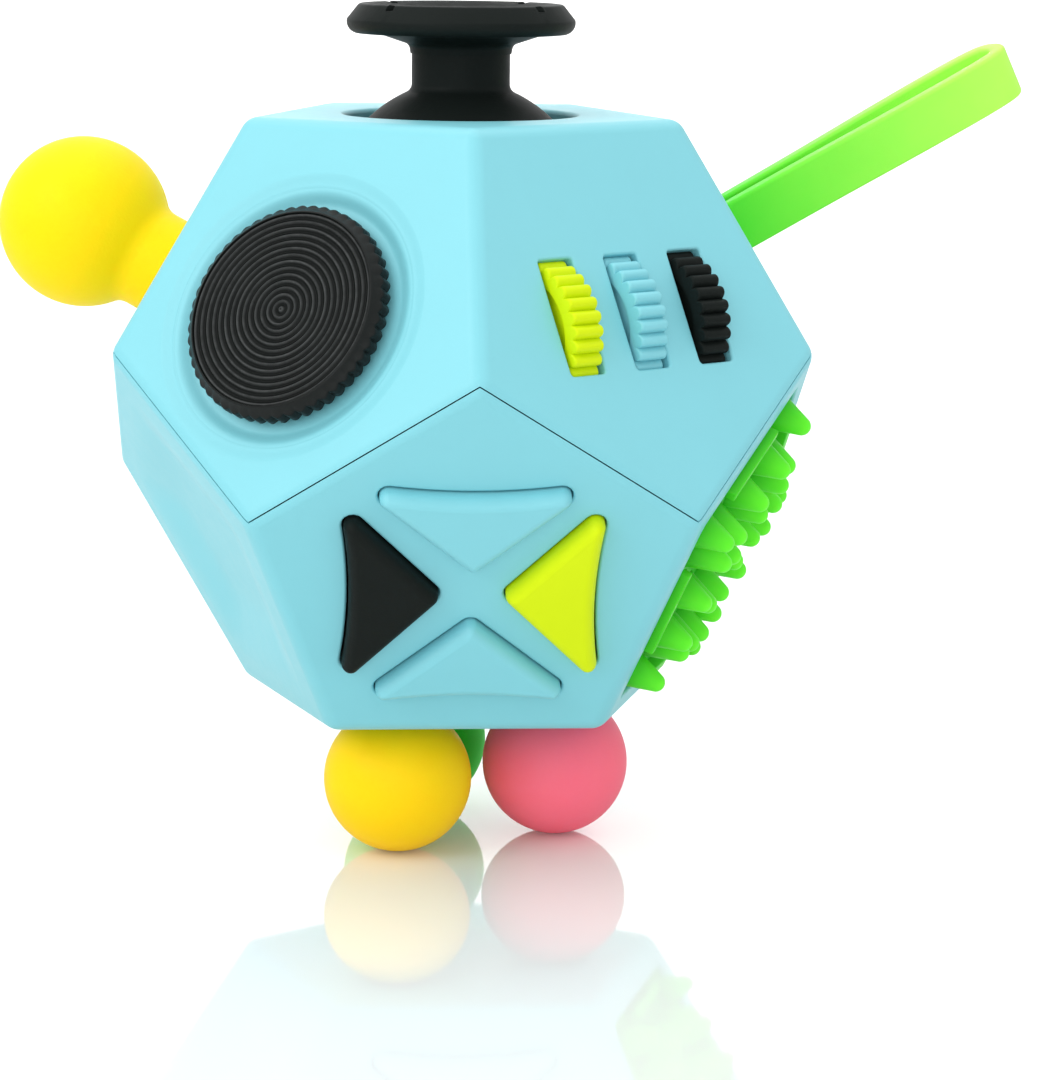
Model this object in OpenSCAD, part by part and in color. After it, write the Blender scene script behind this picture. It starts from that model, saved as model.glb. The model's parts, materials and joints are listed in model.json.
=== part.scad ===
// Twelve-sided pocket fidget toy: two-part hollow casing with a control on every face.
// The casing stands on three balls; the origin is on its axis, on the table under them.

/* [Casing] */
// Distance across two opposite flat faces of the casing
body_af = 44.5; // [43:0.5:60]
// Thickness of the casing wall
wall = 2.2; // [1.8:0.1:2.7]
// Width broken off each sharp edge of the casing
edge_cut = 0.5; // [0.3:0.1:1]
// Radius of the pegs that line up the two halves
peg_r = 0.5; // [0.4:0.05:0.55]

/* [Joystick] */
// Diameter of the thumb cap
cap_d = 17.2; // [14:0.2:20]
// Height of the cap's rim above the casing
cap_h = 8.2; // [7.5:0.1:12]
// Diameter of the stick under the cap
stick_d = 7.4; // [5:0.1:8]
// Diameter of the ball-shaped skirt
skirt_d = 19.6; // [19:0.1:21]
// Depth of the tilting centre below the top face
pivot_depth = 7.3; // [7:0.1:8.8]
// Wall of the skirt
skirt_wall = 1.2; // [0.8:0.1:1.4]

/* [Dial] */
// Diameter of the turning disc
dial_d = 16.4; // [13:0.1:18]
// Height of the disc above the face
dial_h = 1.4; // [1:0.1:3]
// Number of grips round the disc
dial_grips = 52; // [30:1:60]
// Distance of the disc below the middle of its face
dial_drop = 1.3; // [0:0.1:1.5]
// Distance of the disc to the left of the middle of its face
dial_side = 1.1; // [0:0.1:1.2]

/* [Gears] */
// Outer diameter of the gears
gear_d = 10.8; // [9:0.1:11.5]
// Width of each gear
gear_w = 2.6; // [2:0.1:2.9]
// Number of teeth on each gear
gear_teeth = 30; // [20:1:36]
// Distance from gear to gear
gear_pitch = 6.15; // [5.8:0.05:6.5]
// Depth of the axle below the face
axle_depth = 3.7; // [3.3:0.1:4]
// Radius of the axle
axle_r = 1; // [0.7:0.05:1]

/* [Direction buttons] */
// Distance from the cross's centre to the outer side of a button
button_reach = 9.4; // [8.4:0.1:9.6]
// Half of a button's outer side
button_half = 6.9; // [5.6:0.1:7]
// How far a button goes down
button_travel = 1; // [0.5:0.1:1.2]
// Height of a button above the face
button_h = 1.3; // [0.5:0.1:1.6]

/* [Balls] */
// Diameter of the three feet balls
foot_d = 11.2; // [9:0.1:12.5]
// Distance of the feet balls from the axis
foot_reach = 7.7; // [7.4:0.1:8.2]
// Diameter of the squeeze knob
knob_d = 13.2; // [10:0.1:16]
// Height of the knob's centre above its face
knob_h = 10.6; // [9:0.1:15]
// Distance of the knob below the middle of its face
knob_drop = 1.7; // [0:0.1:2]
// Diameter of the rolling ball
roller_d = 10; // [8:0.1:11]

/* [Finger loop] */
// Length of the loop outside the casing
loop_len = 31; // [20:0.5:36]
// Distance of the loop above the middle of its face
loop_lift = 1.8; // [0:0.1:2]
// Width of the band
loop_w = 4.2; // [3:0.1:5]
// Thickness of the band
loop_t = 1.3; // [1:0.1:1.8]

/* [Switch and slider] */
// Length of the rocker
rocker_len = 11; // [9:0.2:13]
// Width of the rocker
rocker_w = 7.6; // [6:0.2:8]
// Travel of the slider each way
slider_travel = 3; // [2:0.1:3.5]

/* [Fits] */
// Radial clearance of a turning fit
turn_gap = 0.06; // [0.02:0.01:0.1]
// Gap round a part that slides in the casing
slide_gap = 0.12; // [0.08:0.01:0.2]
// Gap between faces that pass each other
face_gap = 0.1; // [0.05:0.01:0.2]

/* [Hidden] */
$fn = 64;

// Regular dodecahedron with its bottom and top faces level.
face_in = body_af / 2;                  // centre to face
tilt = atan(0.5);                       // ring faces lean this far from upright
face_r = face_in * (sqrt(5) - 1) / 2;   // radius of the circle inside a face
edge = 2 * face_r * tan(36);            // edge length
foot_sink = 0.25;                       // feet balls sit this far inside their seats
foot_r = foot_d / 2;
center_z = face_in + foot_d - foot_sink; // height of the casing's centre
embed = 0.6;                            // how deep bosses run into the wall

// Screws: plain shanks in pilot holes
screw_r = 0.5;
screw_fit = 0.02;                       // pilot hole over the shank, on the radius
screw_free = 0.1;                       // clearance hole over the shank, on the radius
screw_bite = 2.4;                       // how far a screw runs into its boss
head_r = 1.05;
head_h = 0.7;
boss_r = 1.3;
pilot_end = wall - 0.3;                 // pilot holes stop short of the casing's outer face

// Azimuths of the ring faces: front is -Y, angles turn towards +X
az_gears = 36;
az_dial = -36;
az_loop = 108;
az_knob = -108;
az_rocker = 180;
az_pad = 72;
az_buttons = 0;
az_worry = -72;
az_roller = 144;
az_slider = -144;

sky = [0.55, 0.83, 0.92];
black = [0.09, 0.1, 0.11];
lime = [0.82, 0.93, 0.08];
yellow = [0.97, 0.85, 0.1];
green = [0.25, 0.9, 0.15];
pink = [0.93, 0.42, 0.5];
steel = [0.75, 0.76, 0.78];
grey = [0.45, 0.47, 0.5];

// ---- Frames ----
// Each puts its children on a face: x to the right, y up the slope, z out of the casing.
module at_face(az, lean, inner = face_in) translate([0, 0, center_z]) rotate([0, 0, az])
    rotate([90 - lean, 0, 0]) translate([0, 0, inner]) children();
module on_upper(az) at_face(az, tilt) children();
module on_lower(az) at_face(az, -tilt) children();
module on_top() at_face(0, 90) children();
module on_bottom() at_face(0, -90) children();
// ---- Shared shapes ----
// Points of an arc of radius r about c from angle a0 to a1
function arc(c, r, a0, a1, n) =
    [for (i = [0:n]) let(a = a0 + (a1 - a0) * i / n) c + r * [cos(a), sin(a)]];
module pentagon(r_in, apex)
    polygon([for (i = [0:4]) r_in / cos(36) * [cos(apex + 72 * i), sin(apex + 72 * i)]]);
module rod(r, z0, z1) translate([0, 0, z0]) cylinder(r = r, h = z1 - z0);
module cross_rod(r, x0, x1) translate([x0, 0, 0]) rotate([0, 90, 0]) cylinder(r = r, h = x1 - x0);
module block(x, y, z) translate([x[0], y[0], z[0]]) cube([x[1] - x[0], y[1] - y[0], z[1] - z[0]]);
// Screw with its head's bearing face at z = 0, shank towards +z
module screw(len) { rod(screw_r, -head_h / 2, len); rod(head_r, -head_h, 0); }
// Screw up through a plate whose top is at a depth, stopping inside the pilot hole
module screw_up(depth, plate) translate([0, 0, -depth - plate])
    screw(plate + min(screw_bite, depth - pilot_end - 0.1));
// Boss that grows from the wall's inner side down to a depth, and its pilot hole
module boss(depth, r = boss_r) rod(r, -depth, -wall + embed);
module pilot(depth) rod(screw_r + screw_fit, -depth - 1, -pilot_end);

// ---- Casing ----
module slab(az, lean, half) at_face(az, lean, 0) cube([4 * face_in, 4 * face_in, 2 * half], center = true);
edge_lean = atan((sqrt(5) - 1) / 2);    // edges between neighbours of one ring lean this far
edge_in = edge * (3 + sqrt(5)) / 4;     // centre to the middle of an edge
module casing_solid(inner, cut) {
    broken = edge_in * inner / face_in - cut * sin(edge_lean);
    intersection() {
        slab(0, 90, inner);
        intersection_for (i = [0:4]) slab(36 + 72 * i, tilt, inner);
        intersection_for (i = [0:4]) slab(36 + 72 * i, 90 - edge_lean, broken);
        intersection_for (i = [0:4]) slab(72 * i, edge_lean, broken);
        intersection_for (i = [0:4]) slab(18 + 36 * i, 0, broken);
    }
}
module casing_wall() difference() {
    casing_solid(face_in, edge_cut);
    casing_solid(face_in - wall, edge_cut);
}
// The halves part along the zigzag belt of edges. One face's wedge lies between the two
// planes from the centre through that face's belt edges, and five of them make a half.
module half_space(az, lean) at_face(az, lean, 0) translate([-2 * body_af, -2 * body_af, 0]) cube(4 * body_af);
module wedge(az, up) intersection() {
    half_space(az - 72, up * (90 - edge_lean));
    half_space(az + 72, up * (90 - edge_lean));
}
module upper_wall() difference() {
    casing_wall();
    wedge(0, -1);
    wedge(72, -1);
    wedge(144, -1);
    wedge(-144, -1);
    wedge(-72, -1);
}
module lower_wall() difference() {
    casing_wall();
    wedge(180, 1);
    wedge(108, 1);
    wedge(36, 1);
    wedge(-36, 1);
    wedge(-108, 1);
}
peg_ring = edge_in * (face_in - wall * 0.62) / face_in; // through the middle of the wall
peg_half = 1.3;
peg_gap = 0.04;
module pegs(r) for (i = [0:4]) rotate([0, 0, 18 + 72 * i]) translate([0, -peg_ring, center_z])
    rod(r, -peg_half, peg_half);

// ---- Joystick: sizes from the tilting centre, which is z = 0 here ----
skirt_r = skirt_d / 2;
skirt_edge = 76;                        // angle from the stick to the skirt's edge
joy_hole_r = sqrt(pow(skirt_r, 2) - pow(pivot_depth - wall, 2)) + 0.2;
pivot_pin_r = 0.8;
core_r = 2.4;                           // inner column of the stick
core_low = -2.2;
spigot_r = 1.5;                         // end of the stick inside the cap
cap_under = cap_h - 3.7;                // underside of the cap's middle, above the face
ring_r = 5.2;                           // tilting ring
ring_hole_r = 3.7;
ring_half = 1.3;
post_in = 5.6;                          // posts that carry the ring
post_out = 7.6;
post_half = 1.8;
post_top = 1.6;
flange_top = -3;                        // clear below the ring at full tilt
flange_t = 1.2;
joy_boss_reach = skirt_r + boss_r + 0.7;
cup_floor = -5.1;                       // cup for the centring spring
cup_r = 3.6;
cup_wall = 1;
module on_pivot() on_top() translate([0, 0, -pivot_depth]) children();
module joy_bosses() for (a = [0, 144, -144]) rotate([0, 0, a]) translate([0, -joy_boss_reach, 0]) children();

module upper_shell() color(sky) difference() {
    union() {
        upper_wall();
        on_top() joy_bosses() boss(pivot_depth - flange_top);
        on_dial() rod(dial_hub_r, -dial_hub_depth, -dial_dish - 0.3);
        on_upper(az_gears) gear_mounts();
        on_upper(az_rocker) for (x = [-lug_out, lug_out - lug_w])
            block([x, x + lug_w], [-lug_half, lug_half], [-rocker_depth - lug_low, -wall + embed]);
    }
    pegs(peg_r + peg_gap);
    on_top() rod(joy_hole_r, -wall - 1, 1);
    on_top() joy_bosses() pilot(pivot_depth - flange_top);
    on_dial() {
        translate([0, 0, dish_r - dial_dish]) sphere(r = dish_r, $fn = 128);
        rod(dial_post_r + turn_gap, -dial_hub_depth - 1, 1);
    }
    on_upper(az_gears) gear_cuts();
    on_upper(az_knob) translate([0, -knob_drop, 0]) rod(knob_neck_r, -wall - 1, 1);
    on_loop() block([-loop_root / 2, loop_root / 2], [-loop_w / 2, loop_w / 2], [-wall - 1, 1]);
    on_upper(az_rocker) {
        block([-rocker_w / 2 - 0.2, rocker_w / 2 + 0.2], [-rocker_slot, rocker_slot], [-wall - 1, 1]);
        translate([0, 0, -rocker_depth]) cross_rod(rocker_pin_r, -rocker_w, rocker_w);
    }
}

module lower_shell() color(sky) difference() {
    union() {
        lower_wall();
        pegs(peg_r);
        on_lower(az_buttons) button_bosses() boss(membrane_depth + membrane_t);
        on_lower(az_roller) roller_ears() boss(roller_flange_depth);
        on_lower(az_slider) slider_ears() boss(slider_plate_depth);
        on_lower(az_worry) rod(worry_r * 0.8, -wall - 0.8, -worry_depth - 0.3);
    }
    on_lower(az_buttons) {
        each_button() linear_extrude(wall + 2) polygon(button_outline(0));
        button_bosses() pilot(membrane_depth + membrane_t);
    }
    on_lower(az_pad) {
        translate([0, 0, -pad_sink]) linear_extrude(pad_sink + 1) pentagon(pad_r + 0.05, 90);
        pad_studs() rod(stud_r + 0.05, -wall - 1, 0);
    }
    on_lower(az_worry) translate([0, 0, worry_ball - worry_depth]) sphere(r = worry_ball, $fn = 128);
    on_lower(az_roller) {
        translate([0, 0, -roller_depth]) sphere(r = roller_r + turn_gap);
        roller_ears() pilot(roller_flange_depth);
    }
    on_lower(az_slider) {
        block([-slider_neck / 2 - slider_travel - 0.4, slider_neck / 2 + slider_travel + 0.4],
            [-slider_neck_w / 2 - slide_gap, slider_neck_w / 2 + slide_gap], [-wall - 1, 1]);
        slider_ears() pilot(slider_plate_depth);
    }
    feet() {
        rod(foot_pin_r + turn_gap, -wall - 1, 1);
        translate([0, 0, foot_drop]) sphere(r = foot_r + seat_gap);
    }
}

module joystick_cap() color(black) on_top() difference() {
    rotate_extrude() polygon([[0, cap_under], [stick_d / 2, cap_under], [stick_d / 2 + 0.8, cap_h - 3.1],
        [cap_d / 2 - 1.6, cap_h - 2.3], [cap_d / 2 - 0.2, cap_h - 1.6], [cap_d / 2, cap_h - 1],
        [cap_d / 2 - 0.8, cap_h - 0.1], [cap_d / 2 - 1.2, cap_h], [cap_d / 2 - 3, cap_h - 0.8],
        [0, cap_h - 1]]);
    rod(spigot_r, cap_under - 1, cap_h - 2);
    // four notches in the rim
    for (a = [45:90:315]) rotate([0, 0, a]) translate([cap_d / 2 - 0.9, 0, cap_h])
        rotate([0, 0, 45]) cube([1.3, 1.3, 1.2], center = true);
}
module joystick_stem() color(black) on_pivot() {
    intersection() {
        difference() { sphere(r = skirt_r); sphere(r = skirt_r - skirt_wall); }
        rod(skirt_r + 1, skirt_r * cos(skirt_edge), skirt_r + 1);
    }
    rod(stick_d / 2, skirt_r - skirt_wall, pivot_depth + cap_under);
    rod(spigot_r, skirt_r, pivot_depth + cap_h - 2.1);
    rod(core_r, core_low, skirt_r - skirt_wall / 2);
    rotate([0, 0, 90]) cross_rod(pivot_pin_r, -ring_r + 0.1, ring_r - 0.1);
}
module joystick_gimbal() color(grey) on_pivot() difference() {
    union() {
        rod(ring_r, -ring_half, ring_half);
        cross_rod(pivot_pin_r, -post_out + 0.2, post_out - 0.2);
    }
    rod(ring_hole_r, -ring_half - 1, ring_half + 1);
    rotate([0, 0, 90]) cross_rod(pivot_pin_r + turn_gap, -ring_r - 1, ring_r + 1);
}
module joystick_socket() color(grey) on_pivot() difference() {
    union() {
        joy_bosses() rod(boss_r + 0.2, flange_top - flange_t, flange_top);
        for (a = [0, 144, -144]) rotate([0, 0, a])
            block([-1.2, 1.2], [-joy_boss_reach, 0], [flange_top - flange_t, flange_top]);
        block([-post_out, post_out], [-post_half, post_half], [flange_top - flange_t, flange_top]);
        for (x = [-post_out, post_in])
            block([x, x + post_out - post_in], [-post_half, post_half], [flange_top - 0.5, post_top]);
        rod(cup_r + cup_wall, cup_floor - cup_wall, flange_top);
    }
    rod(cup_r, cup_floor, post_top);
    cross_rod(pivot_pin_r + turn_gap, -post_out - 1, post_out + 1);
    joy_bosses() rod(screw_r + screw_free, cup_floor - 1, 1);
}
// Coil worked out ring by ring round a helix with flat closed ends
coil_r = 1.9;
wire_r = 0.3;
turns = 4;
coil_steps = 16;
function coil_ring(k, z0, z1) =
    let(a = 360 * k / coil_steps, z = z0 + (z1 - z0) * k / (coil_steps * turns))
    [for (j = [0:5]) let(b = 60 * j, r = coil_r + wire_r * cos(b))
        [r * cos(a), r * sin(a), z + wire_r * sin(b)]];
module coil(z0, z1) polyhedron(
    points = [for (k = [0:coil_steps * turns]) each coil_ring(k, z0, z1)],
    faces = concat([[for (j = [0:5]) j]], [[for (j = [5:-1:0]) 6 * coil_steps * turns + j]],
        [for (k = [0:coil_steps * turns - 1], j = [0:5]) let(n = (j + 1) % 6, q = 6 * k)
            [q + j, q + 6 + j, q + n]],
        [for (k = [0:coil_steps * turns - 1], j = [0:5]) let(n = (j + 1) % 6, q = 6 * k)
            [q + n, q + 6 + j, q + 6 + n]]));
module joystick_spring() color(steel) on_pivot() coil(cup_floor + wire_r, core_low - wire_r - 0.02);
module joystick_screws() color(steel) on_top() joy_bosses() screw_up(pivot_depth - flange_top, flange_t);

// ---- Dial ----
dial_r = dial_d / 2;
dial_dish = 0.9;                        // depth of the hollow under the disc
dish_rim = dial_r + 2.4;
dish_r = (pow(dish_rim, 2) + pow(dial_dish, 2)) / (2 * dial_dish);
dial_post_r = 2;
dial_hub_r = 4.4;
dial_hub_depth = wall + 1.2;
dial_low = -dial_dish + 0.1 + pow(dial_r, 2) / (2 * dish_r); // clear of the hollow at the disc's rim
module on_dial() on_upper(az_dial) translate([-dial_side, -dial_drop, 0]) children();
module dial_disk() color(black) on_dial() difference() {
    union() {
        translate([0, 0, dial_low]) linear_extrude(dial_h - 0.5 - dial_low)
            polygon([for (i = [0:dial_grips * 4 - 1]) let(a = 90 * i / dial_grips)
                (dial_r - 0.18 + 0.18 * cos(360 * i / 4)) * [cos(a), sin(a)]]);
        rod(dial_r - 0.5, dial_h - 1, dial_h);
        rod(dial_post_r, -dial_hub_depth - 0.3, dial_low + 0.1);
    }
    for (k = [1:5]) rotate_extrude() translate([k * (dial_r - 1) / 5.5, dial_h]) circle(r = 0.35, $fn = 16);
    rod(screw_r + screw_fit, -dial_hub_depth - 2, -0.4);
}
module dial_washer() color(steel) on_dial() difference() {
    rod(dial_hub_r - 0.8, -dial_hub_depth - 1.1, -dial_hub_depth - 0.3);
    rod(screw_r + 0.05, -dial_hub_depth - 2, 0);
}
module dial_screw() color(steel) on_dial() translate([0, 0, -dial_hub_depth - 1.1]) screw(3);

// ---- Gears ----
gear_r = gear_d / 2;
gear_y = -0.8;
slot_gap = 0.3;
slot_w = gear_w / 2 + slot_gap;         // half width of a slot
tooth_h = 0.5;
gear_mid = gear_pitch / 2;
post_w = gear_pitch - gear_w - 1.2;     // width of the axle posts between gears
keeper_depth = axle_depth + gear_r + 0.3;
keeper_t = 1.1;
keeper_half = 1.4;
gear_boss_y = [gear_y + gear_r + 1.6, gear_y - gear_r - 1.3];
module on_axle() on_upper(az_gears) translate([0, gear_y, -axle_depth]) children();
module gear_bosses() for (s = [0, 1]) translate([(s == 0 ? 1 : -1) * gear_mid, gear_boss_y[s], 0]) children();
module gear_mounts() {
    gear_bosses() boss(keeper_depth);
    for (s = [-1, 1]) translate([s * gear_mid, gear_y, 0])
        block([-post_w / 2, post_w / 2], [-2.6, 2.6], [-axle_depth - axle_r - 0.5, -wall + embed]);
}
module gear_cuts() {
    gear_bosses() pilot(keeper_depth);
    for (k = [-1:1]) translate([k * gear_pitch, gear_y, 0]) {
        block([-slot_w, slot_w], [-slot_half, slot_half], [-wall - 0.4, 1]);
        translate([0, 0, -axle_depth]) cross_rod(gear_r + slot_gap, -slot_w, slot_w);
    }
    // open seats that the axle drops into
    translate([0, gear_y, -axle_depth]) {
        cross_rod(axle_r + 0.01, -gear_mid - post_w, gear_mid + post_w);
        block([-gear_mid - post_w, gear_mid + post_w], [-axle_r - 0.01, axle_r + 0.01], [-gear_r, 0]);
    }
}
slot_half = sqrt(pow(gear_r + slot_gap, 2) - pow(axle_depth, 2)) + 0.05;
// One tooth: its share of the pitch on each side, and how much of its height is reached there
tooth = [[-0.38, 0], [-0.3, 1], [0.3, 1], [0.38, 0]];
flank_sink = 0.4;
hub_r = 2;
module gear(k, shade) color(shade) on_axle()
    translate([k * gear_pitch - gear_w / 2, 0, 0]) rotate([0, 90, 0]) difference() {
        linear_extrude(gear_w) polygon([for (i = [0:gear_teeth - 1], c = tooth)
            let(a = 360 * (i + c[0]) / gear_teeth) (gear_r - tooth_h * (1 - c[1])) * [cos(a), sin(a)]]);
        rod(axle_r + turn_gap, -1, gear_w + 1);
        for (z = [-1, gear_w - flank_sink]) difference() {
            rod(gear_r - 1.3, z, z + 1 + flank_sink);
            rod(hub_r, z - 1, z + 3);
        }
    }
module gear_yellow() gear(-1, lime);
module gear_blue() gear(0, sky);
module gear_black() gear(1, black);
axle_half = gear_pitch + gear_w / 2 + slot_gap - 0.05;
module gear_axle() color(steel) on_axle() cross_rod(axle_r, -axle_half, axle_half);
module gear_keeper() color(grey) on_upper(az_gears) difference() {
    union() {
        gear_bosses() rod(boss_r + 0.1, -keeper_depth - keeper_t, -keeper_depth);
        block([-gear_mid - keeper_half, gear_mid + keeper_half], [gear_y - 2.4, gear_y + 2.4],
            [-keeper_depth - keeper_t, -keeper_depth]);
        for (s = [0, 1]) translate([(s == 0 ? 1 : -1) * gear_mid, 0, 0]) block([-keeper_half, keeper_half],
            [min(gear_y, gear_boss_y[s]), max(gear_y, gear_boss_y[s])],
            [-keeper_depth - keeper_t, -keeper_depth]);
        // tongues that close the axle seats
        for (s = [-1, 1]) translate([s * gear_mid, gear_y, 0]) block([-post_w / 2 + 0.1, post_w / 2 - 0.1],
            [-axle_r + 0.05, axle_r - 0.05], [-keeper_depth - 0.1, -axle_depth - axle_r - 0.03]);
    }
    gear_bosses() rod(screw_r + screw_free, -keeper_depth - 3, 1);
}
module gear_screws() color(steel) on_upper(az_gears) gear_bosses() screw_up(keeper_depth, keeper_t);

// ---- Direction buttons ----
cross_y = -0.9;                         // the cross sits a little below the middle
corner = 0.8;                           // corner radius of a button
apex_y = 3.1;                           // centres of its corners
base_y = button_reach - corner;
base_x = button_half - corner;
side_a = atan2(-base_x, base_y - apex_y);
hollow = 0.45;                          // the outer side curves in by this much
shoulder = 0.3;
flange = 0.55;                          // flange that keeps the button in
flange_thick = 0.8;
button_low = wall + face_gap + flange_thick;
stub_r = 1.6;                           // stub that presses the dome
stub_h = 0.5;
dome_y = (apex_y + 2 * base_y) / 3;
dome_low_r = 2.2;
dome_top_r = 1.7;
membrane_depth = button_low + button_travel + 1;
membrane_t = 0.7;
plate_t = 1.1;
plate_r = 8.3;
button_top_y = cross_y + button_reach + flange + boss_r + 0.8;
// Rounded triangle with its point to the cross's centre, grown by g all round
function button_outline(g) = concat(
    arc([0, apex_y], corner + g, -180 - side_a, side_a, 5),
    arc([base_x, base_y], corner + g, side_a, 90, 5),
    [for (i = [1:7]) let(x = base_x * (1 - i / 4))
        [x, base_y + corner + g - hollow * (1 - pow(x / base_x, 2))]],
    arc([-base_x, base_y], corner + g, 90, 180 - side_a, 5));
module each_button() for (a = [0, 90, 180, 270])
    translate([0, cross_y, -wall - 1]) rotate([0, 0, a]) children();
module button_bosses() for (y = [cross_y, button_top_y]) translate([0, y, 0]) children();
module button_layer(z0, z1, g) translate([0, 0, z0]) linear_extrude(z1 - z0) polygon(button_outline(g));
module button(turn, shade) color(shade) on_lower(az_buttons)
    translate([0, cross_y, 0]) rotate([0, 0, turn]) difference() {
        union() {
            button_layer(-wall - face_gap - 0.1, button_h - shoulder, -slide_gap);
            button_layer(button_h - shoulder - 0.01, button_h, -slide_gap - shoulder);
            button_layer(-button_low, -wall - face_gap, flange);
            translate([0, dome_y, 0]) rod(stub_r, -button_low - stub_h, -wall);
        }
        rod(boss_r + 0.15, -wall - 4, -wall - face_gap / 2);
    }
module button_up() button(0, sky);
module button_down() button(180, sky);
module button_left() button(90, black);
module button_right() button(-90, lime);
// Layer behind the buttons: a disc with an ear for the upper screw
module backing(z0, z1, hole) difference() {
    union() {
        translate([0, cross_y, 0]) rod(plate_r, z0, z1);
        translate([0, button_top_y, 0]) rod(boss_r + 0.2, z0, z1);
        block([-boss_r - 0.2, boss_r + 0.2], [0, button_top_y], [z0, z1]);
    }
    button_bosses() rod(hole, z0 - 1, z1 + 1);
}
module button_membrane() color(grey) on_lower(az_buttons) {
    backing(-membrane_depth - membrane_t, -membrane_depth, boss_r + 0.1);
    each_button() translate([0, dome_y, wall + 1 - membrane_depth - 0.1])
        cylinder(r1 = dome_low_r, r2 = dome_top_r, h = membrane_depth - button_low - stub_h + 0.06);
}
plate_top = -membrane_depth - membrane_t;
module button_plate() color(grey) on_lower(az_buttons)
    backing(plate_top - plate_t, plate_top - 0.02, screw_r + screw_free);
module button_screws() color(steel) on_lower(az_buttons) button_bosses()
    screw_up(membrane_depth + membrane_t, plate_t);

// ---- Bristle pad ----
pad_r = face_r - 2.4;
pad_sink = 1.1;                         // depth of the pocket
pad_t = 0.7;
pad_top = pad_t + 0.03 - pad_sink;      // just below the face
stud_r = 1.2;
bristle_h = 3;
bristle_r = 1.6;
rail_h = 1;
module pad_studs() for (i = [0:2]) rotate([0, 0, 90 + 120 * i]) translate([6, 0, 0]) children();
module bristle(x) translate([x, 0, pad_top - 0.1])
    cylinder(r1 = bristle_r, r2 = 0.5, h = bristle_h + 0.1, $fn = 24);
module bristle_pad() color(green) on_lower(az_pad) {
    translate([0, 0, -pad_sink + 0.03]) linear_extrude(pad_t) pentagon(pad_r, 90);
    pad_studs() rod(stud_r, -wall - 0.3, -pad_sink + 0.1);
    bristle(0);
    for (i = [0:4]) {
        rotate([0, 0, 90 + 72 * i]) { bristle(pad_r * 0.36); bristle(pad_r * 1.02); }
        rotate([0, 0, 54 + 72 * i]) {
            bristle(pad_r * 0.64);
            for (s = [-1, 1]) translate([0, s * pad_r * 0.34, 0]) bristle(pad_r * 0.64 + 0.001);
            block([pad_r - 1.1, pad_r - 0.3], [-pad_r / 3, pad_r / 3], [pad_top - 0.1, pad_top + rail_h]);
        }
    }
}

// ---- Feet balls ----
foot_az = [-38, 82, 202];
foot_drop = foot_r - foot_sink;
foot_pin_r = 1.2;
foot_collar_r = 2.3;
seat_gap = 0.25;                        // between a ball and its seat in the casing
module foot(i) on_bottom() rotate([0, 0, -foot_az[i]]) translate([0, foot_reach, 0]) children();
module feet() for (i = [0:2]) foot(i) children();
module ball(i, shade) color(shade) foot(i) difference() {
    translate([0, 0, foot_drop]) sphere(r = foot_r);
    rod(foot_pin_r, -2, foot_drop + 2);
}
module ball_pin(i) color(steel) foot(i) {
    rod(foot_pin_r, -wall - 0.5, foot_drop + 2);
    rod(foot_collar_r, -wall - 1.1, -wall - face_gap);
}
module ball_yellow() ball(0, yellow);
module ball_pink() ball(1, pink);
module ball_green() ball(2, green);
module ball_pin_yellow() ball_pin(0);
module ball_pin_pink() ball_pin(1);
module ball_pin_green() ball_pin(2);

// ---- Squeeze knob: one hollow soft moulding with a plug through the wall ----
knob_r = knob_d / 2;
knob_neck_r = 3.2;
knob_foot_r = 5.4;                      // where the neck spreads on the face
knob_skin = 1.8;                        // thickness of the hollow ball
module squeeze_knob() color(yellow) on_upper(az_knob) translate([0, -knob_drop, 0]) difference() {
    union() {
        translate([0, 0, knob_h]) sphere(r = knob_r);
        rotate_extrude() polygon([[0, 0.02], [knob_foot_r, 0.02], [4.6, 1], [4, 2.6],
            [3.8, knob_h - knob_r + 1.5], [0, knob_h]]);
        rod(knob_neck_r - 0.02, -wall - 0.5, 0.5);
        rod(knob_neck_r + 1.4, -wall - 1.3, -wall - 0.02);
    }
    translate([0, 0, knob_h]) sphere(r = knob_r - knob_skin);
    rod(1.2, -wall - 3, knob_h);
}

// ---- Finger loop: flat band, folded at its far end ----
loop_root = 3.4;                        // width over both legs at the wall
loop_spread = 5.6;                      // and where they bulge
loop_bulge = 0.72;                      // how far along that is, as a share of the length
loop_fold = 1.7;                        // outer corner radius of the fold
root_tail = 3;                          // root behind the wall
root_pin_r = 0.8;
pin_reach = loop_w / 2 + 2.1;
// Outline of the folded band, drawn in by w all round
function loop_outline(w, r) = let(fold_x = loop_spread / 2 - 0.3 - loop_fold) concat(
    [[-loop_root / 2 + w, w * 1.2], [loop_root / 2 - w, w * 1.2]],
    [[loop_spread / 2 - w, loop_len * loop_bulge]],
    arc([fold_x, loop_len - loop_fold], r, 0, 90, 5),
    arc([-fold_x, loop_len - loop_fold], r, 90, 180, 5),
    [[-loop_spread / 2 + w, loop_len * loop_bulge]]);
module on_loop() on_upper(az_loop) translate([0, loop_lift, 0]) children();
module finger_loop() color(green) on_loop() difference() {
    union() {
        rotate([90, 0, 0]) linear_extrude(loop_w - 0.04, center = true) difference() {
            polygon(loop_outline(0, loop_fold));
            polygon(loop_outline(loop_t, loop_fold - loop_t));
        }
        block([-loop_root / 2 + 0.02, loop_root / 2 - 0.02], [-loop_w / 2 + 0.02, loop_w / 2 - 0.02],
            [-wall - root_tail, loop_t * 1.2]);
    }
    translate([0, 0, -wall - 0.05 - root_pin_r]) cross_rod(root_pin_r + 0.01, -9, 9);
}
module loop_pin() color(steel) on_loop() translate([0, 0, -wall - 0.05 - root_pin_r])
    cross_rod(root_pin_r, -pin_reach, pin_reach);

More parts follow.
